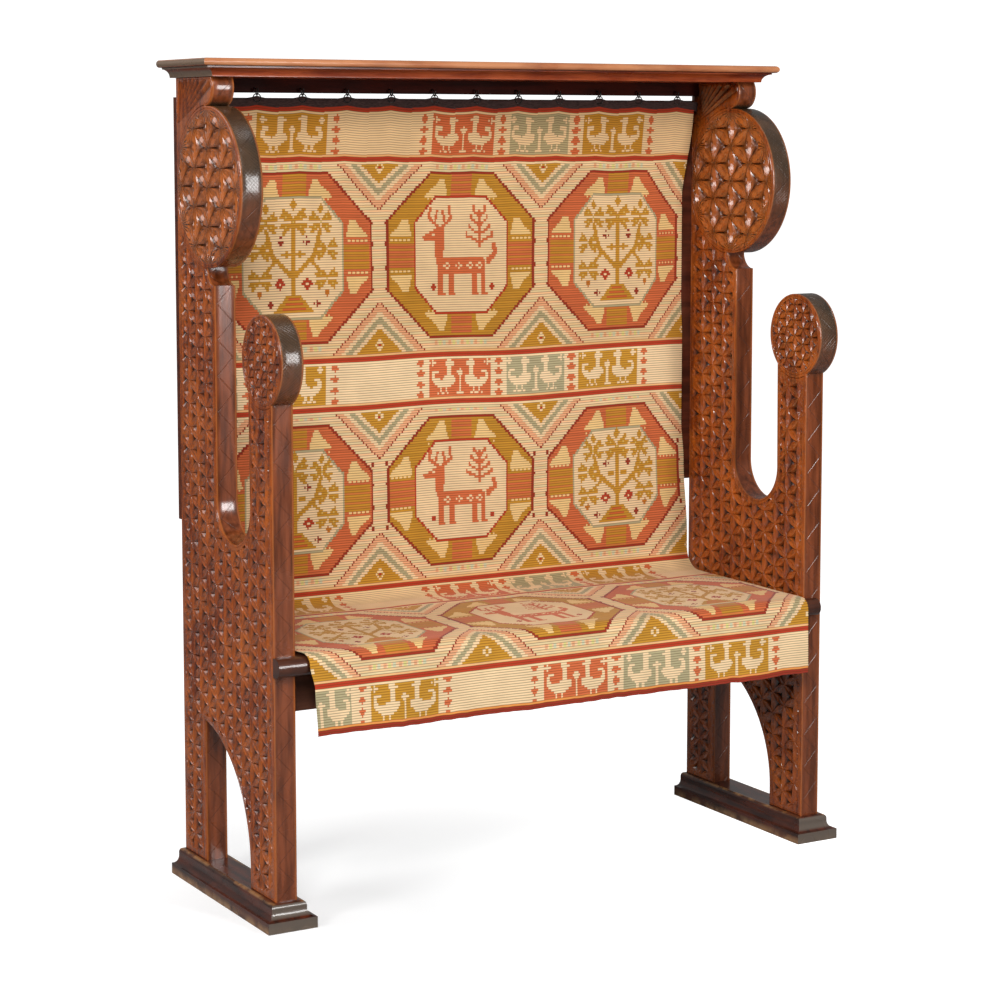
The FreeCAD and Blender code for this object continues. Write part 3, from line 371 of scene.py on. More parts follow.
class Lattice:
    """Overlapping compass circles whose centres stand in columns: every three neighbours hold one
    three-cornered chip with hollow sides, sunk to a point."""

    def __init__(self, origin, radius):
        self.origin = origin
        self.radius = radius

    def centre(self, i, j):
        a = self.radius
        return Vector((self.origin[0] + j * a * 3 ** 0.5 / 2, self.origin[1] + i * a + j * a / 2))

    def corners(self, i, j, upper):
        if upper:
            return [self.centre(i + 1, j), self.centre(i, j + 1), self.centre(i + 1, j + 1)]
        return [self.centre(i, j), self.centre(i + 1, j), self.centre(i, j + 1)]

    def pit(self, i, j, upper):
        """The chip's deepest point, a little off its middle, and how deep it is."""
        three = self.corners(i, j, upper)
        chance = random.Random(f"{i} {j} {upper} {self.radius}")
        off = Vector((chance.uniform(-1, 1), chance.uniform(-1, 1))) * self.radius * 0.02
        return sum(three, Vector((0, 0))) / 3 + off, self.radius * PIT_DEPTH * chance.uniform(0.88, 1.1)

    def height(self, point):
        """The carved surface's height at a point, nought on the petals."""
        a = self.radius
        j_line = (point[0] - self.origin[0]) / (a * 3 ** 0.5 / 2)
        i_line = (point[1] - self.origin[1]) / a - j_line / 2
        i, j = math.floor(i_line), math.floor(j_line)
        upper = (i_line - i) + (j_line - j) > 1
        three = self.corners(i, j, upper)
        pit, depth = self.pit(i, j, upper)
        at = Vector(point) - pit
        facet = min(range(3), key=lambda k: at.dot(three[k] - pit))
        beyond = [three[k - 1] + three[k - 2] - three[k] for k in range(3)]
        if any((Vector(point) - centre).length < a for centre in beyond):
            return 0.0
        way = at.normalized()
        from_beyond = pit - beyond[facet]
        half = from_beyond.dot(way)
        reach = -half - math.sqrt(max(0, half ** 2 - from_beyond.length_squared + a ** 2))
        return -depth * (1 - at.length / reach) if reach > at.length else 0.0


# The depth, in millimetres, at which the painted shade of a pit is darkest
SHADE_DEPTH = 5.5


def chips(lattice, inside, steps):
    """Points with heights and painted shade, and creases, of a field of chips and of the scoops that are
    cut from both ends of each petal, leaning to the front on the upright ones; inside tells which points
    are in the field. The painted shade is above nought in the pits and -1 in the smooth scoops."""
    points, creases = [], []
    a = lattice.radius
    for i in range(-60, 60):
        for j in range(-30, 30):
            base = lattice.centre(i, j)
            if not -250 < base.x < 260 or not 0 < base.y < 1500:
                continue
            points.append((base, 0.0, 0.0))
            for way in ((0, 1), (3 ** 0.5 / 2, 0.5), (3 ** 0.5 / 2, -0.5)):
                along, aside = Vector(way), Vector((-way[1], way[0]))
                upright = way[0] == 0
                deep = SCOOP_DEPTH if upright else SCOOP_DEPTH * 0.6
                lean = 0.05 if upright else 0.0
                for tip, run in ((base, along), (base + along * a, -along)):
                    lowest = tip + run * a * SCOOP_LENGTH
                    points.append((lowest, -a * deep, -1.0))
                    for turn in (-1, 1):
                        corner = tip + run * a * SCOOP_WIDEST + aside * turn * a * SCOOP_HALF_WIDTH
                        sunk = a * (deep * SCOOP_WIDEST / SCOOP_LENGTH + lean * turn)
                        points.append((corner, -sunk, -1.0))
                        creases += [(tip, corner), (corner, lowest)]
            for upper in (False, True):
                three = lattice.corners(i, j, upper)
                pit, depth = lattice.pit(i, j, upper)
                points.append((pit, -depth, depth / SHADE_DEPTH))
                creases += [(pit, corner) for corner in three]
                for k in range(3):
                    p, q = three[k - 1], three[k - 2]
                    beyond = p + q - three[k]
                    for s in range(1, steps):
                        angle = (p - beyond).angle_signed(q - beyond) * s / steps
                        points.append((beyond + Vector(turned(*(p - beyond), -angle)), 0.0, 0.0))
    keep = inside([tuple(p) for p, h, depth_shade in points])
    points = [point for point, kept in zip(points, keep) if kept]
    known = {spot_key(p) for p, h, depth_shade in points}
    creases = [(p, q) for p, q in creases if spot_key(p) in known and spot_key(q) in known]
    return points, creases


def spot_key(p):
    """The same for all points within a hundredth of a millimetre."""
    return round(p.x, 2), round(p.y, 2)


def ring(disc, inset):
    """A circle of points inside a disc's edge, or outside it where the inset is below nought."""
    radius, count = disc[2] - inset, 300
    angles = [t * math.tau / count for t in range(count)]
    return [(disc[0] + radius * math.cos(a), disc[1] + radius * math.sin(a)) for a in angles]


def from_disc(points, disc):
    """How far points are outside a disc's edge."""
    return np.hypot(np.array(points)[:, 0] - disc[0], np.array(points)[:, 1] - disc[1]) - disc[2]


# Plain borders between the carving and the outline and round the discs, in millimetres; how far the
# arrises are rounded; and the height where the carving ends and the fan under the shelf begins
MARGIN = 9.0
RIM = 4.0
HEAD_BORDER = 11.5
ARM_BORDER = 8.5
ARRIS = 1.5
FAN_FOOT = HEAD[1] + 60
FAN_HUB = (207.0, 1384.0)
FAN_FLUTES = 9


def carved_face():
    """One carved face as flat points, their heights and painted shade, and triangles; the rim tells
    where the points of its outline went."""
    base = cut_finer(side_outline(), 9.0)
    main = Lattice((-163.0, 64.0), FIELD_PITCH)
    head = Lattice(HEAD[:2], HEAD_PITCH)
    arm = Lattice(ARM[:2], ARM_PITCH)
    found, height, depth_shade, edges = [], [], [], []

    def loop(points, levels, kept):
        start, count = len(found), len(points)
        found.extend(points)
        height.extend(level if keep else None for level, keep in zip(levels, kept))
        # Sunk rings get painted shade by their depth
        depth_shade.extend(-level / SHADE_DEPTH for level in levels)
        edges.extend((start + k, start + (k + 1) % count) for k in range(count)
                     if kept[k] and kept[(k + 1) % count])

    def in_main(points, slack=0.0):
        low = np.array(points)[:, 1] < FAN_FOOT
        clear = (from_disc(points, HEAD) > RIM + slack) & (from_disc(points, ARM) > RIM + slack)
        return (distances(points, base) > MARGIN - 0.1 + slack) & clear & low

    def within(disc, border):
        return lambda points: (from_disc(points, disc) < -border - 1.3) & (distances(points, base) > 6)

    for inset, level in ((0, -ARRIS), (0.45, -0.45), (1.5, 0), (3.2, 0), (4.0, -0.9), (4.8, 0)):
        line = moved_in(base, inset) if inset else base
        loop(line, [level] * len(line), [True] * len(line))
    line = moved_in(base, MARGIN)
    loop(line, [0.0] * len(line), in_main(line))
    inner = cut_finer(moved_in(base, MARGIN + 0.8), 2.5)
    loop(inner, [main.height(p) for p in inner], in_main(inner))
    for disc, lattice, border in ((HEAD, head, HEAD_BORDER), (ARM, arm, ARM_BORDER)):
        for inset, level in ((5, 0), (4.2, -0.9), (3.4, 0), (-0.8, 0), (-1.8, -1.6), (-2.8, 0),
                             (border, 0)):
            line = ring(disc, inset)
            loop(line, [level] * len(line), distances(line, base) > 5.6)
        line = ring(disc, border + 0.8)
        loop(line, [lattice.height(p) for p in line], distances(line, base) > 5.6)

    for lattice, inside, steps in ((main, lambda points: in_main(points, 1.6), 6),
                                   (head, within(HEAD, HEAD_BORDER), 10),
                                   (arm, within(ARM, ARM_BORDER), 5)):
        points, creases = chips(lattice, inside, steps)
        spots = {}
        for p, h, dark in points:
            if spot_key(p) not in spots:
                spots[spot_key(p)] = len(found)
                found.append(tuple(p))
                height.append(h)
                depth_shade.append(dark)
        edges += [tuple(spots[spot_key(p)] for p in pair) for pair in creases]

    for k in range(2 * FAN_FLUTES + 1):
        angle = math.radians(97 + 62 * k / (2 * FAN_FLUTES))
        line = [(FAN_HUB[0] + r * math.cos(angle), FAN_HUB[1] + r * math.sin(angle))
                for r in range(10, 190, 5)]
        kept = ((distances(line, base) > 5.5) & (from_disc(line, HEAD) > RIM + 0.6)
                & (np.array(line)[:, 1] > FAN_FOOT))
        start = len(found)
        for n, p in enumerate(line):
            found.append(p)
            deep = min(2.6, 0.35 + 0.028 * math.dist(p, FAN_HUB))
            height.append((-deep if k % 2 else 0.25) if kept[n] else None)
            # The fan's sunk flutes get painted shade by their depth
            depth_shade.append(deep / SHADE_DEPTH if k % 2 else 0.0)
            if n and kept[n] and kept[n - 1]:
                edges.append((start + n - 1, start + n))

    used = [i for i, h in enumerate(height) if h is not None]
    place = {old: new for new, old in enumerate(used)}
    flat = [Vector(found[i]) for i in used]
    lines = [(place[p], place[q]) for p, q in edges if p in place and q in place]
    made = delaunay_2d_cdt(flat, lines, [], 0, 1e-4)
    points = [tuple(p) for p in made[0]]
    level = [0.0] * len(points)
    dark = [0.0] * len(points)
    rim = [0] * len(base)
    for n, sources in enumerate(made[3]):
        if sources:
            level[n] = min((height[used[s]] for s in sources), key=abs)
            dark[n] = min((depth_shade[used[s]] for s in sources), key=abs)
        for s in sources:
            if s < len(base):
                level[n] = -ARRIS
                rim[s] = n
    middles = [tuple(sum(points[v][c] for v in face) / 3 for c in (0, 1)) for face in made[2]]
    faces = [tuple(face) for face, away in zip(made[2], distances(middles, base)) if away > 0]
    return points, level, dark, faces, rim, base


def clamp(value):
    return max(0.0, min(1.0, value))


def greyness(y, z):
    """How grey a place on the sides' edge is: most on top of the discs."""
    return max(clamp((disc[2] + 9 - math.hypot(y - disc[0], z - disc[1])) / 6)
               * clamp(0.8 + (z - disc[1]) / 140) for disc in (HEAD, ARM))


def carved_sides():
    """Both carved sides, each one mesh: the same carving outside and inside, and the plain edge."""
    points, level, dark, faces, rim, base = carved_face()
    materials = (carved_faces(), carved_edges())
    rows, count = 4, len(points)
    edge = HALF_OUTER - HALF_INNER - 2 * ARRIS
    polygons = [tuple(reversed(f)) for f in faces] + [tuple(v + count for v in f) for f in faces]
    carved = len(polygons)
    inner_rows = count * 2
    for k in range(len(base)):
        strip, after = ([rim[n], *range(inner_rows + n * (rows - 1), inner_rows + (n + 1) * (rows - 1)),
                         rim[n] + count] for n in (k, (k + 1) % len(base)))
        polygons += [(strip[r], strip[r + 1], after[r + 1], after[r]) for r in range(rows)]
    kinds = [0] * carved + [1] * (len(polygons) - carved)
    for side, node in ((-1, "left_side_panel"), (1, "right_side_panel")):
        verts = [(side * (HALF_OUTER + h), y, z) for (y, z), h in zip(points, level)]
        verts += [(side * (HALF_INNER - h), y, z) for (y, z), h in zip(points, level)]
        values = {"depth": dark * 2}
        for name in ("along", "across", "grey"):
            values[name] = [0.0] * len(verts)
        total = 0.0
        for k, (y, z) in enumerate(base):
            for v, share in ((rim[k], 0.0), (rim[k] + count, 1.0)):
                values["along"][v] = total * MM
                values["across"][v] = (share - 0.5) * edge * MM
                values["grey"][v] = greyness(y, z)
            for r in range(1, rows):
                share = r / rows
                verts.append((side * (HALF_OUTER - ARRIS - edge * share), y, z))
                for name, value in (("depth", 0.0), ("along", total * MM),
                                    ("across", (share - 0.5) * edge * MM), ("grey", greyness(y, z))):
                    values[name].append(value)
            total += math.dist((y, z), base[(k + 1) % len(base)])
        turned_out = polygons if side < 0 else [tuple(reversed(f)) for f in polygons]
        mesh = smooth_mesh(node, verts, turned_out, *materials)
        for name, numbers in values.items():
            mesh.attributes.new(name, "FLOAT", "POINT").data.foreach_set("value", numbers)
        mesh.polygons.foreach_set("material_index", kinds)
        mesh.set_sharp_from_angle(angle=math.radians(24))
        mesh.update()
        panel = put("carved_" + node, mesh)
        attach(panel, "root")
        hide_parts(node)


carved_sides()


# The woven cover

# Its size in millimetres and its count of stitches and ribs
WIDE = 1066.0
LONG = 1472.0
COLUMNS = 355
RIBS = 320
STITCH = WIDE / COLUMNS
RIB = LONG / RIBS
HALF = WIDE / 2

# How far apart the octagons stand
OCTAGONS = 357

CREAM = "#e9cba0"
RED = "#b23a22"
CORAL = "#cf693f"
OLIVE = "#c28b2d"
GREY_GREEN = "#aca17c"
RING_BIRD = "#e8c486"
PINK = "#e3a67c"
DARK_RED = "#95301f"
PALE = "#eccfa0"
LIGHT_OLIVE = "#cfae5e"

# The colour of every stitch, and where the stitches stand: across from the middle, down from the top
cloth = np.zeros((RIBS, COLUMNS, 3))
stitch_x = (np.arange(COLUMNS) + 0.5) * STITCH - HALF
stitch_v = (np.arange(RIBS) + 0.5) * RIB


def box(x0, v0, x1, v1, colour):
    columns = (stitch_x >= x0) & (stitch_x < x1)
    rows = (stitch_v >= v0) & (stitch_v < v1)
    cloth[np.ix_(rows, columns)] = rgb(colour)


def shape(corners, colour, across=0.0, down=0.0, turn=1, flip=1):
    """Fills the stitches inside a polygon, placed at (across, down), mirrored by turn and flip."""
    px = np.array([across + turn * x for x, v in corners])
    pv = np.array([down + flip * v for x, v in corners])
    cols = np.where((stitch_x >= px.min()) & (stitch_x <= px.max()))[0]
    rows = np.where((stitch_v >= pv.min()) & (stitch_v <= pv.max()))[0]
    if not len(cols) or not len(rows):
        return
    gx, gv = np.meshgrid(stitch_x[cols], stitch_v[rows])
    inside = np.zeros(gx.shape, bool)
    for k in range(len(px)):
        x0, v0, x1, v1 = px[k - 1], pv[k - 1], px[k], pv[k]
        if v0 != v1:
            inside ^= ((v0 > gv) != (v1 > gv)) & (gx < x0 + (gv - v0) * (x1 - x0) / (v1 - v0))
    part = cloth[rows[0]:rows[-1] + 1, cols[0]:cols[-1] + 1]
    part[inside] = rgb(colour)


def spot(x, v, colour, rx=2.2, rv=2.2):
    box(x - rx, v - rv, x + rx, v + rv, colour)


CROSS = ((0, 0), (5, 0), (-5, 0), (0, 5), (0, -5))


def dots(x, v, places, colour, rx=2.2, rv=2.2):
    for across, down in places:
        spot(x + across, v + down, colour, rx, rv)


def diamond(x, v, rx, rv, colour):
    shape([(-rx, 0), (0, -rv), (rx, 0), (0, rv)], colour, x, v)


def stem(x0, v0, x1, v1, colour, thick=4.6):
    """A line of stitches, one in each rib or each column."""
    count = max(1, round(max(abs(x1 - x0) / STITCH, abs(v1 - v0) / RIB)))
    for k in range(count + 1):
        spot(x0 + (x1 - x0) * k / count, v0 + (v1 - v0) * k / count, colour, thick / 2, thick / 2)


def bird(x, v, turn, colour):
    """A cream bird of the bands; turn 1 looks to the right. x is the block's middle."""
    parts = (
        [(-60, 40), (-40, 46), (-30, 38), (-12, 38), (-10, 50), (-22, 61), (-46, 61), (-58, 52)],
        [(-29, 6), (-19, 6), (-19, 42), (-29, 42)],
        [(-31, 8), (-13, 12), (-13, 17), (-31, 19)],
        [(-62, 32), (-55, 32), (-55, 48), (-62, 48)],
        [(-60, 27), (-47, 27), (-47, 33), (-60, 33)],
        [(-44, 61), (-40, 61), (-40, 70), (-44, 70)],
        [(-32, 61), (-28, 61), (-28, 70), (-32, 70)],
    )
    for corners in parts:
        shape(corners, colour, x, v, turn)
    for foot in (-48, -39, -35, -26):
        spot(x + turn * foot, v + 73, colour)
    dots(x - turn * 60, v + 13, CROSS, colour)


def bird_block(x0, x1, v, ground, colour=CREAM):
    middle = (x0 + x1) / 2
    box(x0, v, x1, v + 82, ground)
    bird(middle, v, 1, colour)
    bird(middle, v, -1, colour)
    diamond(middle, v + 33, 8, 8, colour)
    box(middle - 2.3, v + 28, middle + 2.3, v + 72, colour)
    box(middle - 7, v + 70, middle + 7, v + 75, colour)


def flower_column(x, v):
    for k in range(4):
        centre = v + 11 + 21 * k
        diamond(x, centre, 10, 7, CORAL)
        box(x - 2, centre - 8, x + 2, centre + 8, CORAL)


BACK_BLOCKS = ((-600, -472, GREY_GREEN), (-436, -293, OLIVE), (-71, 64, CORAL),
               (100, 232, GREY_GREEN), (265, 406, OLIVE))
FALL_BLOCKS = ((-590, -457, GREY_GREEN), (-414, -278, OLIVE), (-63, 75, CORAL),
               (110, 253, GREY_GREEN), (289, 436, OLIVE))


def bird_band(v, blocks):
    """A band of bird blocks between columns of small flowers."""
    for x0, x1, ground in blocks:
        bird_block(x0, x1, v, ground)
    for block in blocks[1:]:
        for x in (block[0] - 18, block[1] + 19):
            flower_column(x, v)


def stripe(v, thick=9.2):
    box(-HALF, v - RIB, HALF, v, "#e6b078")
    box(-HALF, v, HALF, v + thick, RED)
    box(-HALF, v + thick, HALF, v + thick + RIB, PALE)


def octagon(x, v, half_x, half_v, cut_x, cut_v, colour):
    corners = [(-half_x + cut_x, -half_v), (half_x - cut_x, -half_v), (half_x, -half_v + cut_v),
               (half_x, half_v - cut_v), (half_x - cut_x, half_v), (-half_x + cut_x, half_v),
               (-half_x, half_v - cut_v), (-half_x, -half_v + cut_v)]
    shape(corners, colour, x, v)


def ring_bird(x, v, turn, flip, colour):
    """A stepped three-cornered bird with dotted feet, as it stands in an octagon's ring."""
    shape([(4, -21), (13, -21), (18, -6), (23, 15), (-27, 15), (-22, 7), (-6, -6)], colour, x, v,
          turn, flip)
    for k in range(5):
        spot(x + turn * (-20 + 9 * k), v + flip * 20, colour)


def lozenge(x, v, half_v, ring, blocks, line, inner_line):
    """One octagon: outline, ring with its blocks and birds, and the cream inside it. The blocks are
    woven in ribs of both colours."""
    octagon(x, v, 163, half_v, 92, 92, line)
    octagon(x, v, 159, half_v - 4.6, 90, 90, ring)
    for turn in (-1, 1):
        for flip in (-1, 1):
            spot(x + turn * 164, v + flip * 22, line, 3, 4)
            spot(x + turn * 164, v + flip * 62, line, 3, 4)
        spot(x + turn * 130, v, blocks, 28, 24)
        spot(x, v + turn * (half_v - 30), blocks, 24, 25)
    light, dark = np.array(rgb(ring)), np.array(rgb(blocks))
    for k in range(RIBS):
        if abs(stitch_v[k] - v) >= half_v:
            continue
        row = cloth[k]
        near = np.abs(stitch_x - x) < 157
        in_ring = (np.abs(row - light).sum(1) < 1e-6) & near
        in_block = (np.abs(row - dark).sum(1) < 1e-6) & near
        row[in_ring] = light * (1.0, 0.86, 1.0, 0.93)[k % 4]
        woven = (dark, light * 0.3 + dark * 0.62, dark * 0.92, light * 0.62 + dark * 0.34)
        row[in_block] = woven[k % 4]
    for turn in (-1, 1):
        for flip in (-1, 1):
            ring_bird(x + turn * 52, v - flip * (half_v - 32), -turn, flip, RING_BIRD)
            ring_bird(x + turn * 131, v - flip * 50, -turn, flip, RING_BIRD)
    octagon(x, v, 104, half_v - 46, 46, 50, inner_line)
    octagon(x, v, 100, half_v - 50, 44, 48, CREAM)


def leaf_cross(x, v, size, colour):
    """A leaf of four forked lobes set crosswise, each with a lighter stitch at its heart."""
    lobe = [(0.03, 0.04), (0.5, 0.1), (0.98, 0.2), (1.04, 0.42), (0.72, 0.48), (0.86, 0.74),
            (0.66, 0.88), (0.36, 0.6), (0.05, 0.3)]
    for a, b in ((1, 1), (-1, 1), (1, -1), (-1, -1)):
        shape([(px * size, pv * size) for px, pv in lobe], colour, x, v, a, b)
        spot(x + a * size * 0.5, v + b * size * 0.36, LIGHT_OLIVE, 1.6, 2.3)
    spot(x, v, LIGHT_OLIVE, 1.6, 2.3)


def tree(x, v, reach):
    """The tree: a trunk on a stepped mound, bent branches and leaves of four lobes; reach is half the
    height of the octagon that it fills."""
    up = reach / 110

    def at(dx, dv):
        return x + dx, v + dv * up

    stem(*at(0, -70), *at(0, 40), OLIVE, 7)
    stem(*at(0, 36), *at(0, 72), OLIVE, 11)
    for turn in (-1, 1):
        stem(*at(0, 38), *at(turn * 42, -4), OLIVE, 7)
        stem(*at(turn * 42, -4), *at(turn * 55, -52), OLIVE, 7)
        stem(*at(turn * 40, -6), *at(turn * 66, -16), OLIVE, 6)
        stem(*at(turn * 38, 6), *at(turn * 66, 34), OLIVE, 6)
        leaf_cross(*at(turn * 56, -66), 24, OLIVE)
        diamond(*at(turn * 56, -92), 7, 11, OLIVE)
        leaf_cross(*at(turn * 68, -15), 23, OLIVE)
        leaf_cross(*at(turn * 68, 40), 23, OLIVE)
        diamond(*at(turn * 69, 66), 6, 8, "#bd6f26")
        diamond(*at(turn * 14, -7), 12, 6, OLIVE)
        dots(x + turn * 26, v - 32 * up, CROSS, DARK_RED)
        dots(x + turn * 47, v + 86 * up, CROSS, DARK_RED)
        diamond(x + turn * 28, v + 48 * up, 12, 12, RED)
        spot(x + turn * 28, v + 48 * up, PALE)
    leaf_cross(*at(0, -68), 29, OLIVE)
    diamond(*at(0, -99), 8, 12, OLIVE)
    shape([(-13, 68), (13, 68), (43, 104), (-43, 104)], OLIVE, x, v, 1, up)
    for k in range(3):
        box(x - 12 - 6 * k, v + (76 + 9 * k) * up, x + 12 + 6 * k, v + (80 + 9 * k) * up, "#c65f30")


def stag(x, v, reach):
    """A stag beside a sprig, drawn in straight steps; reach is half the height of its octagon."""
    across, up = 1.06, reach / 101
    x += 4

    def line(x0, v0, x1, v1, thick):
        stem(x + x0 * across, v + v0 * up, x + x1 * across, v + v1 * up, CORAL, thick)

    parts = (
        [(-46, 4), (40, 4), (46, 12), (46, 34), (-52, 34), (-52, 12)],
        [(-52, 34), (-42, 34), (-42, 66), (-36, 72), (-52, 72)],
        [(-30, 34), (-20, 34), (-20, 66), (-14, 72), (-30, 72)],
        [(18, 34), (28, 34), (28, 66), (34, 72), (18, 72)],
        [(36, 34), (46, 34), (46, 66), (52, 72), (36, 72)],
        [(-56, 16), (-42, 6), (-38, -40), (-58, -40), (-58, 0)],
        [(-84, -34), (-58, -46), (-38, -46), (-38, -26), (-60, -26), (-80, -24)],
        [(46, 8), (62, -4), (60, -22), (68, -22), (72, 0), (52, 20)],
    )
    for corners in parts:
        shape(corners, CORAL, x, v, across, up)
    for turn, top in ((-1, -84), (1, -88)):
        line(-48, -46, -48 + turn * 22, -66, 6)
        line(-48 + turn * 22, -66, -48 + turn * 20, top, 6)
        line(-48 + turn * 10, -56, -48 + turn * 6, -80, 5)
    for px in (-34, -10, 14, 34):
        dots(x + px * across, v + 19 * up, CROSS[1:], CREAM)
    spot(x - 62 * across, v - 38 * up, CREAM)
    line(34, -14, 34, -78, 5)
    for k in range(4):
        for turn in (-1, 1):
            line(34, -22 - 15 * k, 34 + turn * (26 - 5 * k), -34 - 15 * k, 5)
            line(34 + turn * (26 - 5 * k), -34 - 15 * k, 34 + turn * (26 - 5 * k), -40 - 15 * k, 5)
    for px in (-66, 64):
        diamond(x + px, v + 58 * up, 7, 7, RED)


def gap_sign(x, v, flip):
    """The V between two octagons: one line of dark red stitches, pink, cream and grey-green inside
    it, and an olive triangle with a small flower against the stripe."""
    layers = ((104, 102, DARK_RED), (101, 99, PINK), (86, 84, CREAM), (76, 74, GREY_GREEN),
              (63, 61, CREAM), (53, 51, OLIVE))
    for width, depth, colour in layers:
        shape([(-width, 0), (width, 0), (0, depth)], colour, x, v, 1, flip)
    dots(x, v + flip * 19, ((7, 0), (-7, 0), (0, 7), (0, -7)), PALE, 2.2, 2.6)
    dots(x, v + flip * 19, ((3.5, 3.5), (-3.5, 3.5), (3.5, -3.5), (-3.5, -3.5)), PALE, 1.6, 1.6)
    spot(x, v + flip * 19, RED)


def octagon_band(v0, v1):
    """A band of octagons: a tree, a beast and a tree, with the V signs between them."""
    for k in range(RIBS):
        if v0 <= stitch_v[k] < v1:
            shade = (CREAM, "#e2c090", "#dcc79a", "#edbf92")[k % 4]
            cloth[k, :] = rgb(shade)
    middle = (v0 + v1) / 2
    half = (v1 - v0) / 2 - 31
    for gap in (-1.5, -0.5, 0.5, 1.5):
        gap_sign(gap * OCTAGONS, v0 + 3, 1)
        gap_sign(gap * OCTAGONS, v1 - 3, -1)
    for x in (-OCTAGONS, 0, OCTAGONS):
        # A row of small coloured blocks runs over and under the octagon
        for turn in (-1, 1):
            for n in range(12):
                tint = (PINK, "#d9cf86", "#c9c9a8")[n % 3]
                box(x - 60 + 10 * n, middle + turn * (half + 12) - 4,
                    x - 54 + 10 * n, middle + turn * (half + 12) + 4, tint)
        if x:
            lozenge(x, middle, half, CORAL, OLIVE, DARK_RED, GREY_GREEN)
            tree(x, middle, half - 50)
        else:
            lozenge(x, middle, half, OLIVE, CORAL, DARK_RED, RED)
            stag(x, middle, half - 50)


def weave():
    """Sets the colour of every stitch of the cover."""
    cloth[:] = rgb(CREAM)
    for v0, v1 in ((95, 475), (567, 917), (1010, 1379)):
        octagon_band(v0, v1)
    for v, blocks in ((12, BACK_BLOCKS), (482, BACK_BLOCKS), (924, BACK_BLOCKS), (1386, FALL_BLOCKS)):
        bird_band(v, blocks)
    for v in (0, 95, 475, 567, 917, 1010, 1379):
        stripe(v)
    box(-HALF, LONG - 3 * RIB, HALF, LONG - 2 * RIB, "#e0904a")
    box(-HALF, LONG - 2 * RIB, HALF, LONG, DARK_RED)
    # Painted shade, darker and yellower: most at the top and on the seat, and least in the second band
    # and the fall
    painted_shade = np.interp(stitch_v,
                         (0, 95, 110, 470, 482, 560, 575, 900, 930, 1000, 1020, 1320, 1350, 1379),
                         (1, 1, 0.65, 0.65, 0, 0, 0.3, 0.35, 0.9, 0.9, 0.7, 0.7, 0.2, 0))
    cloth[:] *= 1 - painted_shade[:, None, None] * np.array((0.19, 0.28, 0.38))


# The cover's path seen from the side, in millimetres: it leans back from its top to the flat part of
# the back, bends into the seat, turns over the nosing and falls
BACK = 201.15
SEAT_TOP = 479.4
TOP = (177.15, 1421.0)
LEAN_END = 1250.0
LEAN = 172.7
BEND = 45.0
SEAT_RUN = 349.5
NOSE = 19.9
NOSE_AT = BACK - BEND - SEAT_RUN
BACK_RUN = LEAN_END - SEAT_TOP - BEND
HOOK_PITCH = 92
HOOKS = [-24 + HOOK_PITCH * (i - 5.5) for i in range(12)]


def on_path(v):
    """Where the cover runs, v down its length: (depth, height) and the way its face looks."""
    lean_end, back_end = Vector((BACK, LEAN_END)), Vector((BACK, SEAT_TOP + BEND))
    for length, start, end in ((LEAN, Vector(TOP), lean_end), (BACK_RUN, lean_end, back_end)):
        if v <= length:
            run = (end - start).normalized()
            return start.lerp(end, v / length), Vector((run.y, -run.x))
        v -= length
    if v <= math.pi / 2 * BEND:
        y, z = math.cos(v / BEND), math.sin(v / BEND)
        return Vector((BACK - BEND + BEND * y, SEAT_TOP + BEND - BEND * z)), Vector((-y, z))
    v -= math.pi / 2 * BEND
    if v <= SEAT_RUN:
        return Vector((BACK - BEND - v, SEAT_TOP)), Vector((0, 1))
    v -= SEAT_RUN
    if v <= math.pi / 2 * NOSE:
        y, z = math.sin(v / NOSE), math.cos(v / NOSE)
        return Vector((NOSE_AT - NOSE * y, SEAT_TOP - NOSE + NOSE * z)), Vector((-y, z))
    v -= math.pi / 2 * NOSE
    return Vector((NOSE_AT - NOSE, SEAT_TOP - NOSE - v)), Vector((-1, 0))


def smooth(low, high, value):
    """From 0 at low to 1 at high, easing in and out."""
    t = clamp((value - low) / (high - low))
    return t * t * (3 - 2 * t)


def edge_x(v, side):
    """How far the cover reaches to one side at v down its length."""
    if side > 0:
        lower = 3 * smooth(380, 480, v) + 6 * smooth(640, 720, v) + 10 * smooth(720, 870, v)
        return 523 - 12 * smooth(30, 190, v) + lower
    return -(533 - 6 * smooth(1290, 1345, v) - 9 * smooth(1345, 1391, v) - 5 * smooth(1391, 1472, v))


def hang(x, v):
    """How far the cloth sags below its straight line at a place near the hooks."""
    near = min(HOOKS, key=lambda h: abs(h - x))
    bay = abs(x - near) / (HOOK_PITCH / 2)
    deep = 4.0 + 3.0 * noise.noise(Vector((round((x - near) + near * 0.013), 3.3, 0.0)) * 0.004)
    return deep * (1 - (1 - min(1, bay)) ** 2) * math.exp(-v / 130)


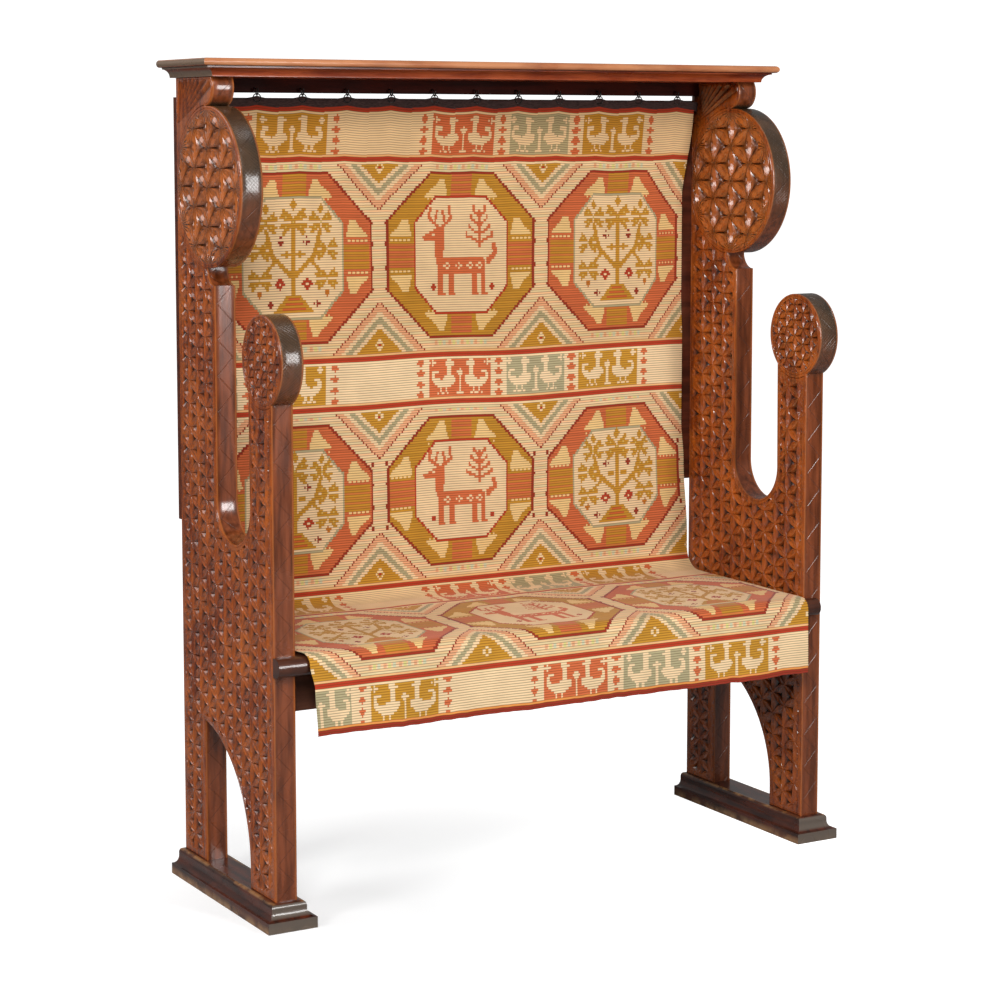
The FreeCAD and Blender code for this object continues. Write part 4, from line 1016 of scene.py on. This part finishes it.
def on_cover(x_share, v, out):
    """A point of the hung cover: x_share from -1 to 1 across it, v down it, and out from its path."""
    flat = x_share * HALF
    side = 1 if flat > 0 else -1
    x = flat + (edge_x(v, side) - side * HALF) * smooth(380, HALF, abs(flat))
    at, way = on_path(v)
    back = 1 - smooth(800, 950, v)
    fall = smooth(1340, 1472, v)
    waves = noise.noise(Vector((x * 0.006, v * 0.0045, 1.7)))
    small = noise.noise(Vector((x * 0.021, v * 0.011, 7.1)))
    rise = (waves * 4.5 + small * 1.2 + 2.4) * back * smooth(30, 200, v)
    rise += (1 - back) * (1 - fall) * (1.6 + 1.6 * waves + 1.0 * small)
    rise += fall * (4.0 + 6.5 * noise.noise(Vector((x * 0.009, 0.3, v * 0.002))) + small)
    rise *= 1 - 0.75 * smooth(430, 530, abs(x)) * back
    slip = 5.0 * noise.noise(Vector((x * 0.0042, v * 0.0016, 4.4))) * smooth(0, 160, v) * back
    drop = hang(x, v) + slip
    at = at + way * (rise + out)
    y, z = at
    if v < 900:
        z -= drop * (1 - smooth(760, 900, v))
    elif v > 1380:
        z -= 5.0 * noise.noise(Vector((x * 0.008, 9.9, 0.0))) * fall
        z -= 1.6 * noise.noise(Vector((x * 0.05, 4.2, 0.0))) * smooth(1430, 1472, v)
    return x, y, z


def woven_wool():
    """Wool weft packed over a thick warp: each rib is a soft cord, with a thin olive-brown line of
    shade between the ribs, and the fuzz of the wool keeps it matt. The fuzz is too fine to show, so it
    is drawn about 1.6 mm wide."""
    material, tree, place = blank("Wool weft, handwoven on a thick warp")
    stitch = add(tree, "Attribute", out="Color", attribute_name="stitch")
    rib = add(tree, "Attribute", out="Fac", attribute_name="rib")
    turn = add(tree, "Math", (rib, 0.5), operation="PINGPONG")
    surface_marks = blotches(tree, place, 50)
    colour = add(tree, "HueSaturation", {
        "Color": stained(tree, stitch, (turn, 0.25, 0.03, 0.648, "#4c2e0c")),
        "Value": add(tree, "MapRange", (surface_marks, 0.3, 0.7, 0.93, 1.06))})
    finished(tree, {
        "Base Color": colour, "Normal": dented(tree, (blotches(tree, place, 1.6, 2), 0.3)),
        "Roughness": 0.92, "Specular IOR Level": 0.15, "Sheen Weight": 0.12, "Sheen Roughness": 0.5})
    return material


def woven_cover():
    """The hung cloth: two rows of faces to each rib, so that every rib is a ridge, and one column of
    faces to each stitch."""
    weave()
    rows = RIBS * 2
    points, ribs = [], []
    for r in range(rows + 1):
        crest = 0.9 if r % 2 else -0.3
        for c in range(COLUMNS + 1):
            points.append(on_cover(c / COLUMNS * 2 - 1, min(LONG, r * RIB / 2), crest))
            ribs.append(r / 2)
    wide = COLUMNS + 1
    faces = [(r * wide + c, (r + 1) * wide + c, (r + 1) * wide + c + 1, r * wide + c + 1)
             for r in range(rows) for c in range(COLUMNS)]
    mesh = smooth_mesh("woven_cover_cloth", points, faces, woven_wool())
    colours = np.ones((rows, COLUMNS, 4, 4))
    colours[..., :3] = cloth[np.arange(rows) // 2][:, :, None, :]
    mesh.attributes.new("stitch", "FLOAT_COLOR", "CORNER").data.foreach_set("color", colours.ravel())
    mesh.attributes.new("rib", "FLOAT", "POINT").data.foreach_set("value", ribs)
    mesh.update()
    cover = put("woven_cover_cloth", mesh)
    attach(cover, "root")
    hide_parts("woven_cover")


woven_cover()


# Looks of the plain pieces

def cornice_highlight_and_shade(tree, place, colour):
    """Painted highlight in pale pink patches on the top bead, painted shade in the step under it, and
    grey at the left end.
    """
    height = add(tree, "SeparateXYZ", (place,), "Z")
    facing = add(tree, "SeparateXYZ", (add(tree, "NewGeometry", out="Normal"),), "X")
    patch = blotches(tree, place, 35, 3, (3, 1, 1))
    # Painted highlight: pale pink patches over the top bead
    bead = add(tree, "MapRange", (height, 1.4868, 1.4885))
    patchy = add(tree, "MapRange", (patch, 0.3, 0.6, 0.35, 0.9))
    pale_patches = add(tree, "Math", (bead, patchy), operation="MULTIPLY")
    # Painted shade: a dark line in the step under the bead
    step = add(tree, "Math", (height, 1.4862, 0.0008), operation="COMPARE")
    return stained(tree, colour, (pale_patches, 0, 1, 1, "#bd8058"), (step, 0, 1, 0.7, "#2c120c"),
                   (facing, -0.5, -0.8, 0.92, "#6f5f50"))


def foot_wear(tree, place, colour):
    """Tan wood where boots have rubbed the plinth's lower edge and the top arris, grey in front."""
    across, height = (add(tree, "SeparateXYZ", (place,), axis) for axis in "XZ")
    facing = add(tree, "SeparateXYZ", (add(tree, "NewGeometry", out="Normal"),), "Y")
    patch = blotches(tree, place, 30)
    low = add(tree, "MapRange", (height, 0.004, 0.015, 0.75, 0))
    low_patchy = add(tree, "MapRange", (patch, 0.38, 0.6, 0.15, 1))
    low = add(tree, "Math", (low, low_patchy), operation="MULTIPLY")
    middle = (HALF_OUTER + HALF_INNER) / 2 * MM
    aside = add(tree, "Math", (across,), operation="ABSOLUTE")
    aside = add(tree, "Math", (aside, middle), operation="SUBTRACT")
    aside = add(tree, "Math", (aside,), operation="ABSOLUTE")
    arris = add(tree, "MapRange", (aside, 0.0225, 0.0255))
    top = add(tree, "MapRange", (height, 0.0425, 0.0452))
    top = add(tree, "Math", (top, arris), operation="MULTIPLY")
    top_patchy = add(tree, "MapRange", (patch, 0.45, 0.6, 0.1, 0.8))
    top = add(tree, "Math", (top, top_patchy), operation="MULTIPLY")
    return stained(tree, colour, (low, 0, 1, 1, "#a98058"), (top, 0, 1, 1, "#a37446"),
                   (facing, -0.45, -0.75, 0.9, "#5f554c"))


def iron(name, colour, rough):
    """Iron with a dull dark skin that gives soft greyish lights, and small rubbed places."""
    material, tree, place = blank(name)
    pale_patches = blotches(tree, place, 2, 2)
    finished(tree, {
        "Base Color": stained(tree, colour, (pale_patches, 0.5, 0.8, 1, "#6a6460")),
        "Normal": dented(tree, (pale_patches, 0.1)), "Metallic": 0.9, "Roughness": rough})
    return material


def dyed_tape():
    """Plain cotton tape, dyed dark purple-brown: matt, with the faint streaks of its threads. They are
    too fine to show, so they are drawn about 1.2 mm wide."""
    material, tree, place = blank("Cotton tape, woven and dyed purple-brown")
    threads = blotches(tree, place, 1.2, 1, (6, 1, 1))
    finished(tree, {
        "Base Color": stained(tree, "#2c1e1c", (threads, 0.3, 0.7, 1, "#463431")),
        "Normal": dented(tree, (threads, 0.3)), "Roughness": 0.9, "Specular IOR Level": 0.2})
    return material


ALONG_X = (9, 1, 1)
ALONG_Y = (1, 8, 1)

# The shelf is warm and rather dull, the feet and the seat dark and glossy, the rail nearly black; the
# back boards and the seat's frame are barely varnished, and nails, hooks and rings are dull iron
looks = (
    (varnished_wood("Cornice pine, stained red and varnished", "#93401c", "#6a250e", "#a8522a", ALONG_X,
                    0.28, coat=0.15, shine=0.2, surface_marks=cornice_highlight_and_shade), ("cornice_shelf",)),
    (varnished_wood("Foot oak, planed and varnished dark", "#54220f", "#2a0f06", "#6e3820", ALONG_Y, 0.24,
                    surface_marks=foot_wear), ("left_foot", "right_foot")),
    (varnished_wood("Rail pine, stained dark red", "#3a0e05", "#260601", "#4a170a", ALONG_X, 0.6,
                    coat=0.0, shine=0.08), ("hanging_rail",)),
    (varnished_wood("Back board pine, planed and thinly stained", "#5a2817", "#3e1a0e", "#6c3823",
                    ALONG_X, 0.5, coat=0.0, shine=0.2), [f"back_board_{n}" for n in (1, 2, 3, 4)]),
    (varnished_wood("Bench plank oak, varnished dark and worn smooth", "#46200f", "#2a1108", "#60331f",
                    ALONG_X, 0.24), ("seat_front_plank", "seat_middle_plank", "seat_rear_plank")),
    (varnished_wood("Bench frame pine, sawn and stained", "#5a3222", "#3e2014", "#6e4430", ALONG_X, 0.45,
                    coat=0.1),
     ("seat_front_rail", "seat_rear_rail", "seat_bearer", "left_seat_cleat", "right_seat_cleat")),
    (varnished_wood("Dowel oak, cut and darkened", "#5a3a26", "#3c2416", "#74503a", gloss=0.4),
     ("shelf_dowels",)),
    (iron("Iron wire, drawn and blackened", "#1c1a19", 0.45), ("hooks", "curtain_rings")),
    (iron("Nail iron, forged and dull", "#3a3632", 0.5), ("back_nails", "cleat_screws")),
)
for material, nodes in looks:
    for node in nodes:
        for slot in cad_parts[node].material_slots:
            slot.material = material


# The tape's lower and upper edge at a ring, and how far its top is drawn up there, in millimetres
TAPE_FOOT = 1417.5
TAPE_TOP = 1435.5
TAPE_PEAK = 2.0


def header_tape():
    """The tape along the top, drawn up to a peak at each ring and slack between."""
    rows, columns = 4, 268
    points = []
    for share in (0, 0.25, 0.5, 0.75, 1):
        for c in range(columns + 1):
            x = -533 + 1064 * c / columns
            apart = min(abs(x - hook) for hook in HOOKS)
            rise = TAPE_TOP + TAPE_PEAK * max(0.0, 1 - apart / 30) ** 2 - TAPE_FOOT
            y = 177.6 - 2.5 * share + 0.9 * noise.noise(Vector((x * 0.02, share, 0)))
            points.append((x, y, TAPE_FOOT - hang(x, 0.0) + rise * share))
    wide = columns + 1
    faces = [(r * wide + c, r * wide + c + 1, (r + 1) * wide + c + 1, (r + 1) * wide + c)
             for r in range(rows) for c in range(columns)]
    tape = put("header_tape_band", smooth_mesh("header_tape_band", points, faces, dyed_tape()))
    tape.modifiers.new("thickness", "SOLIDIFY").thickness = 0.0012
    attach(tape, "root")
    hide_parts("header_tape")


header_tape()


# Floor, lights and camera

# The paper's glow is painted light: it is weakest round the near foot, a painted shadow there, and rises
# to the background
NEAR_FOOT = (-0.5, -0.2, 0.0)
PAPER_GLOW = (0.44, 0.95)


def pale_floor():
    """A matt white paper floor that runs out into the white background."""
    material, tree, place = blank("Background paper, white and matt")
    seen = add(tree, "LightPath", out="Is Camera Ray")
    away = add(tree, "VectorMath", (place, NEAR_FOOT), "Value", operation="DISTANCE")
    # Painted shadow round the near foot: the glow is dimmer there
    painted_glow = add(tree, "MapRange", (away, 0.2, 1.05, *PAPER_GLOW))
    glow = add(tree, "Emission", {"Color": "#ffffff", "Strength": painted_glow})
    thin = add(tree, "BsdfDiffuse", {"Color": "#cccccc"})
    shown = add(tree, "AddShader", (thin, glow))
    paper = add(tree, "BsdfDiffuse", {"Color": "#a0a0a0"})
    add(tree, "OutputMaterial", {"Surface": add(tree, "MixShader", (seen, paper, shown))})
    corners = [(x * 30 / MM, y * 30 / MM, 0) for x, y in ((-1, -1), (1, -1), (1, 1), (-1, 1))]
    return put("floor", smooth_mesh("floor", corners, [(0, 1, 2, 3)], material))


def lamp(name, place, target, size, power):
    """A softbox that looks at a target."""
    light = bpy.data.lights.new(name, "AREA")
    light.shape = "RECTANGLE"
    light.size, light.size_y = size
    light.energy = power
    made = put(name, light)
    made.location = place
    made.rotation_euler = (Vector(target) - Vector(place)).to_track_quat("-Z", "Y").to_euler()
    return made


def studio():
    world = bpy.data.worlds.new("white studio")
    world.use_nodes = True
    tree = world.node_tree
    tree.nodes.clear()
    rays = [add(tree, "LightPath", out=ray) for ray in ("Is Camera Ray", "Is Transmission Ray")]
    seen = add(tree, "Math", rays, operation="MAXIMUM")
    strength = add(tree, "MapRange", (seen, 0, 1, 0.25, 1.15))
    sky = add(tree, "Background", {"Color": "#ffffff", "Strength": strength})
    add(tree, "OutputWorld", {"Surface": sky})
    bpy.context.scene.world = world
    lamps = [
        lamp("key softbox on the left", (-4.4, -1.2, 2.6), (0, 0, 0.9), (1.3, 1.3), 76),
        lamp("near softbox, left of the camera", (-1.7, -2.5, 2.7), (0.3, 0, 0.9), (0.9, 0.9), 71),
        lamp("side softbox, behind on the left", (-2.6, 2.2, 2.3), (0, 0, 0.9), (1.2, 1.0), 12),
        lamp("front softbox, right of the camera", (0.9, -3.1, 1.55), (-0.1, 0, 0.95), (0.36, 1.2), 49),
        lamp("broad front fill", (-0.8, -4.6, 4.6), (0, 0, 0.8), (3.0, 2.0), 46),
    ]
    pale_floor()


def camera():
    """The photograph's camera, solved from the settle's edges."""
    seen = bpy.data.cameras.new("camera")
    seen.lens = 91.440
    seen.sensor_width = 36
    seen.shift_y = -0.1
    seen.clip_end = 100
    made = put("camera", seen)
    made.location = (-2.3761, -4.0836, 1.3750)
    made.rotation_euler = (math.radians(90 - 6.0666), 0, math.radians(-29.8959))
    bpy.context.scene.camera = made


studio()
camera()
bpy.context.scene.view_settings.view_transform = "Standard"
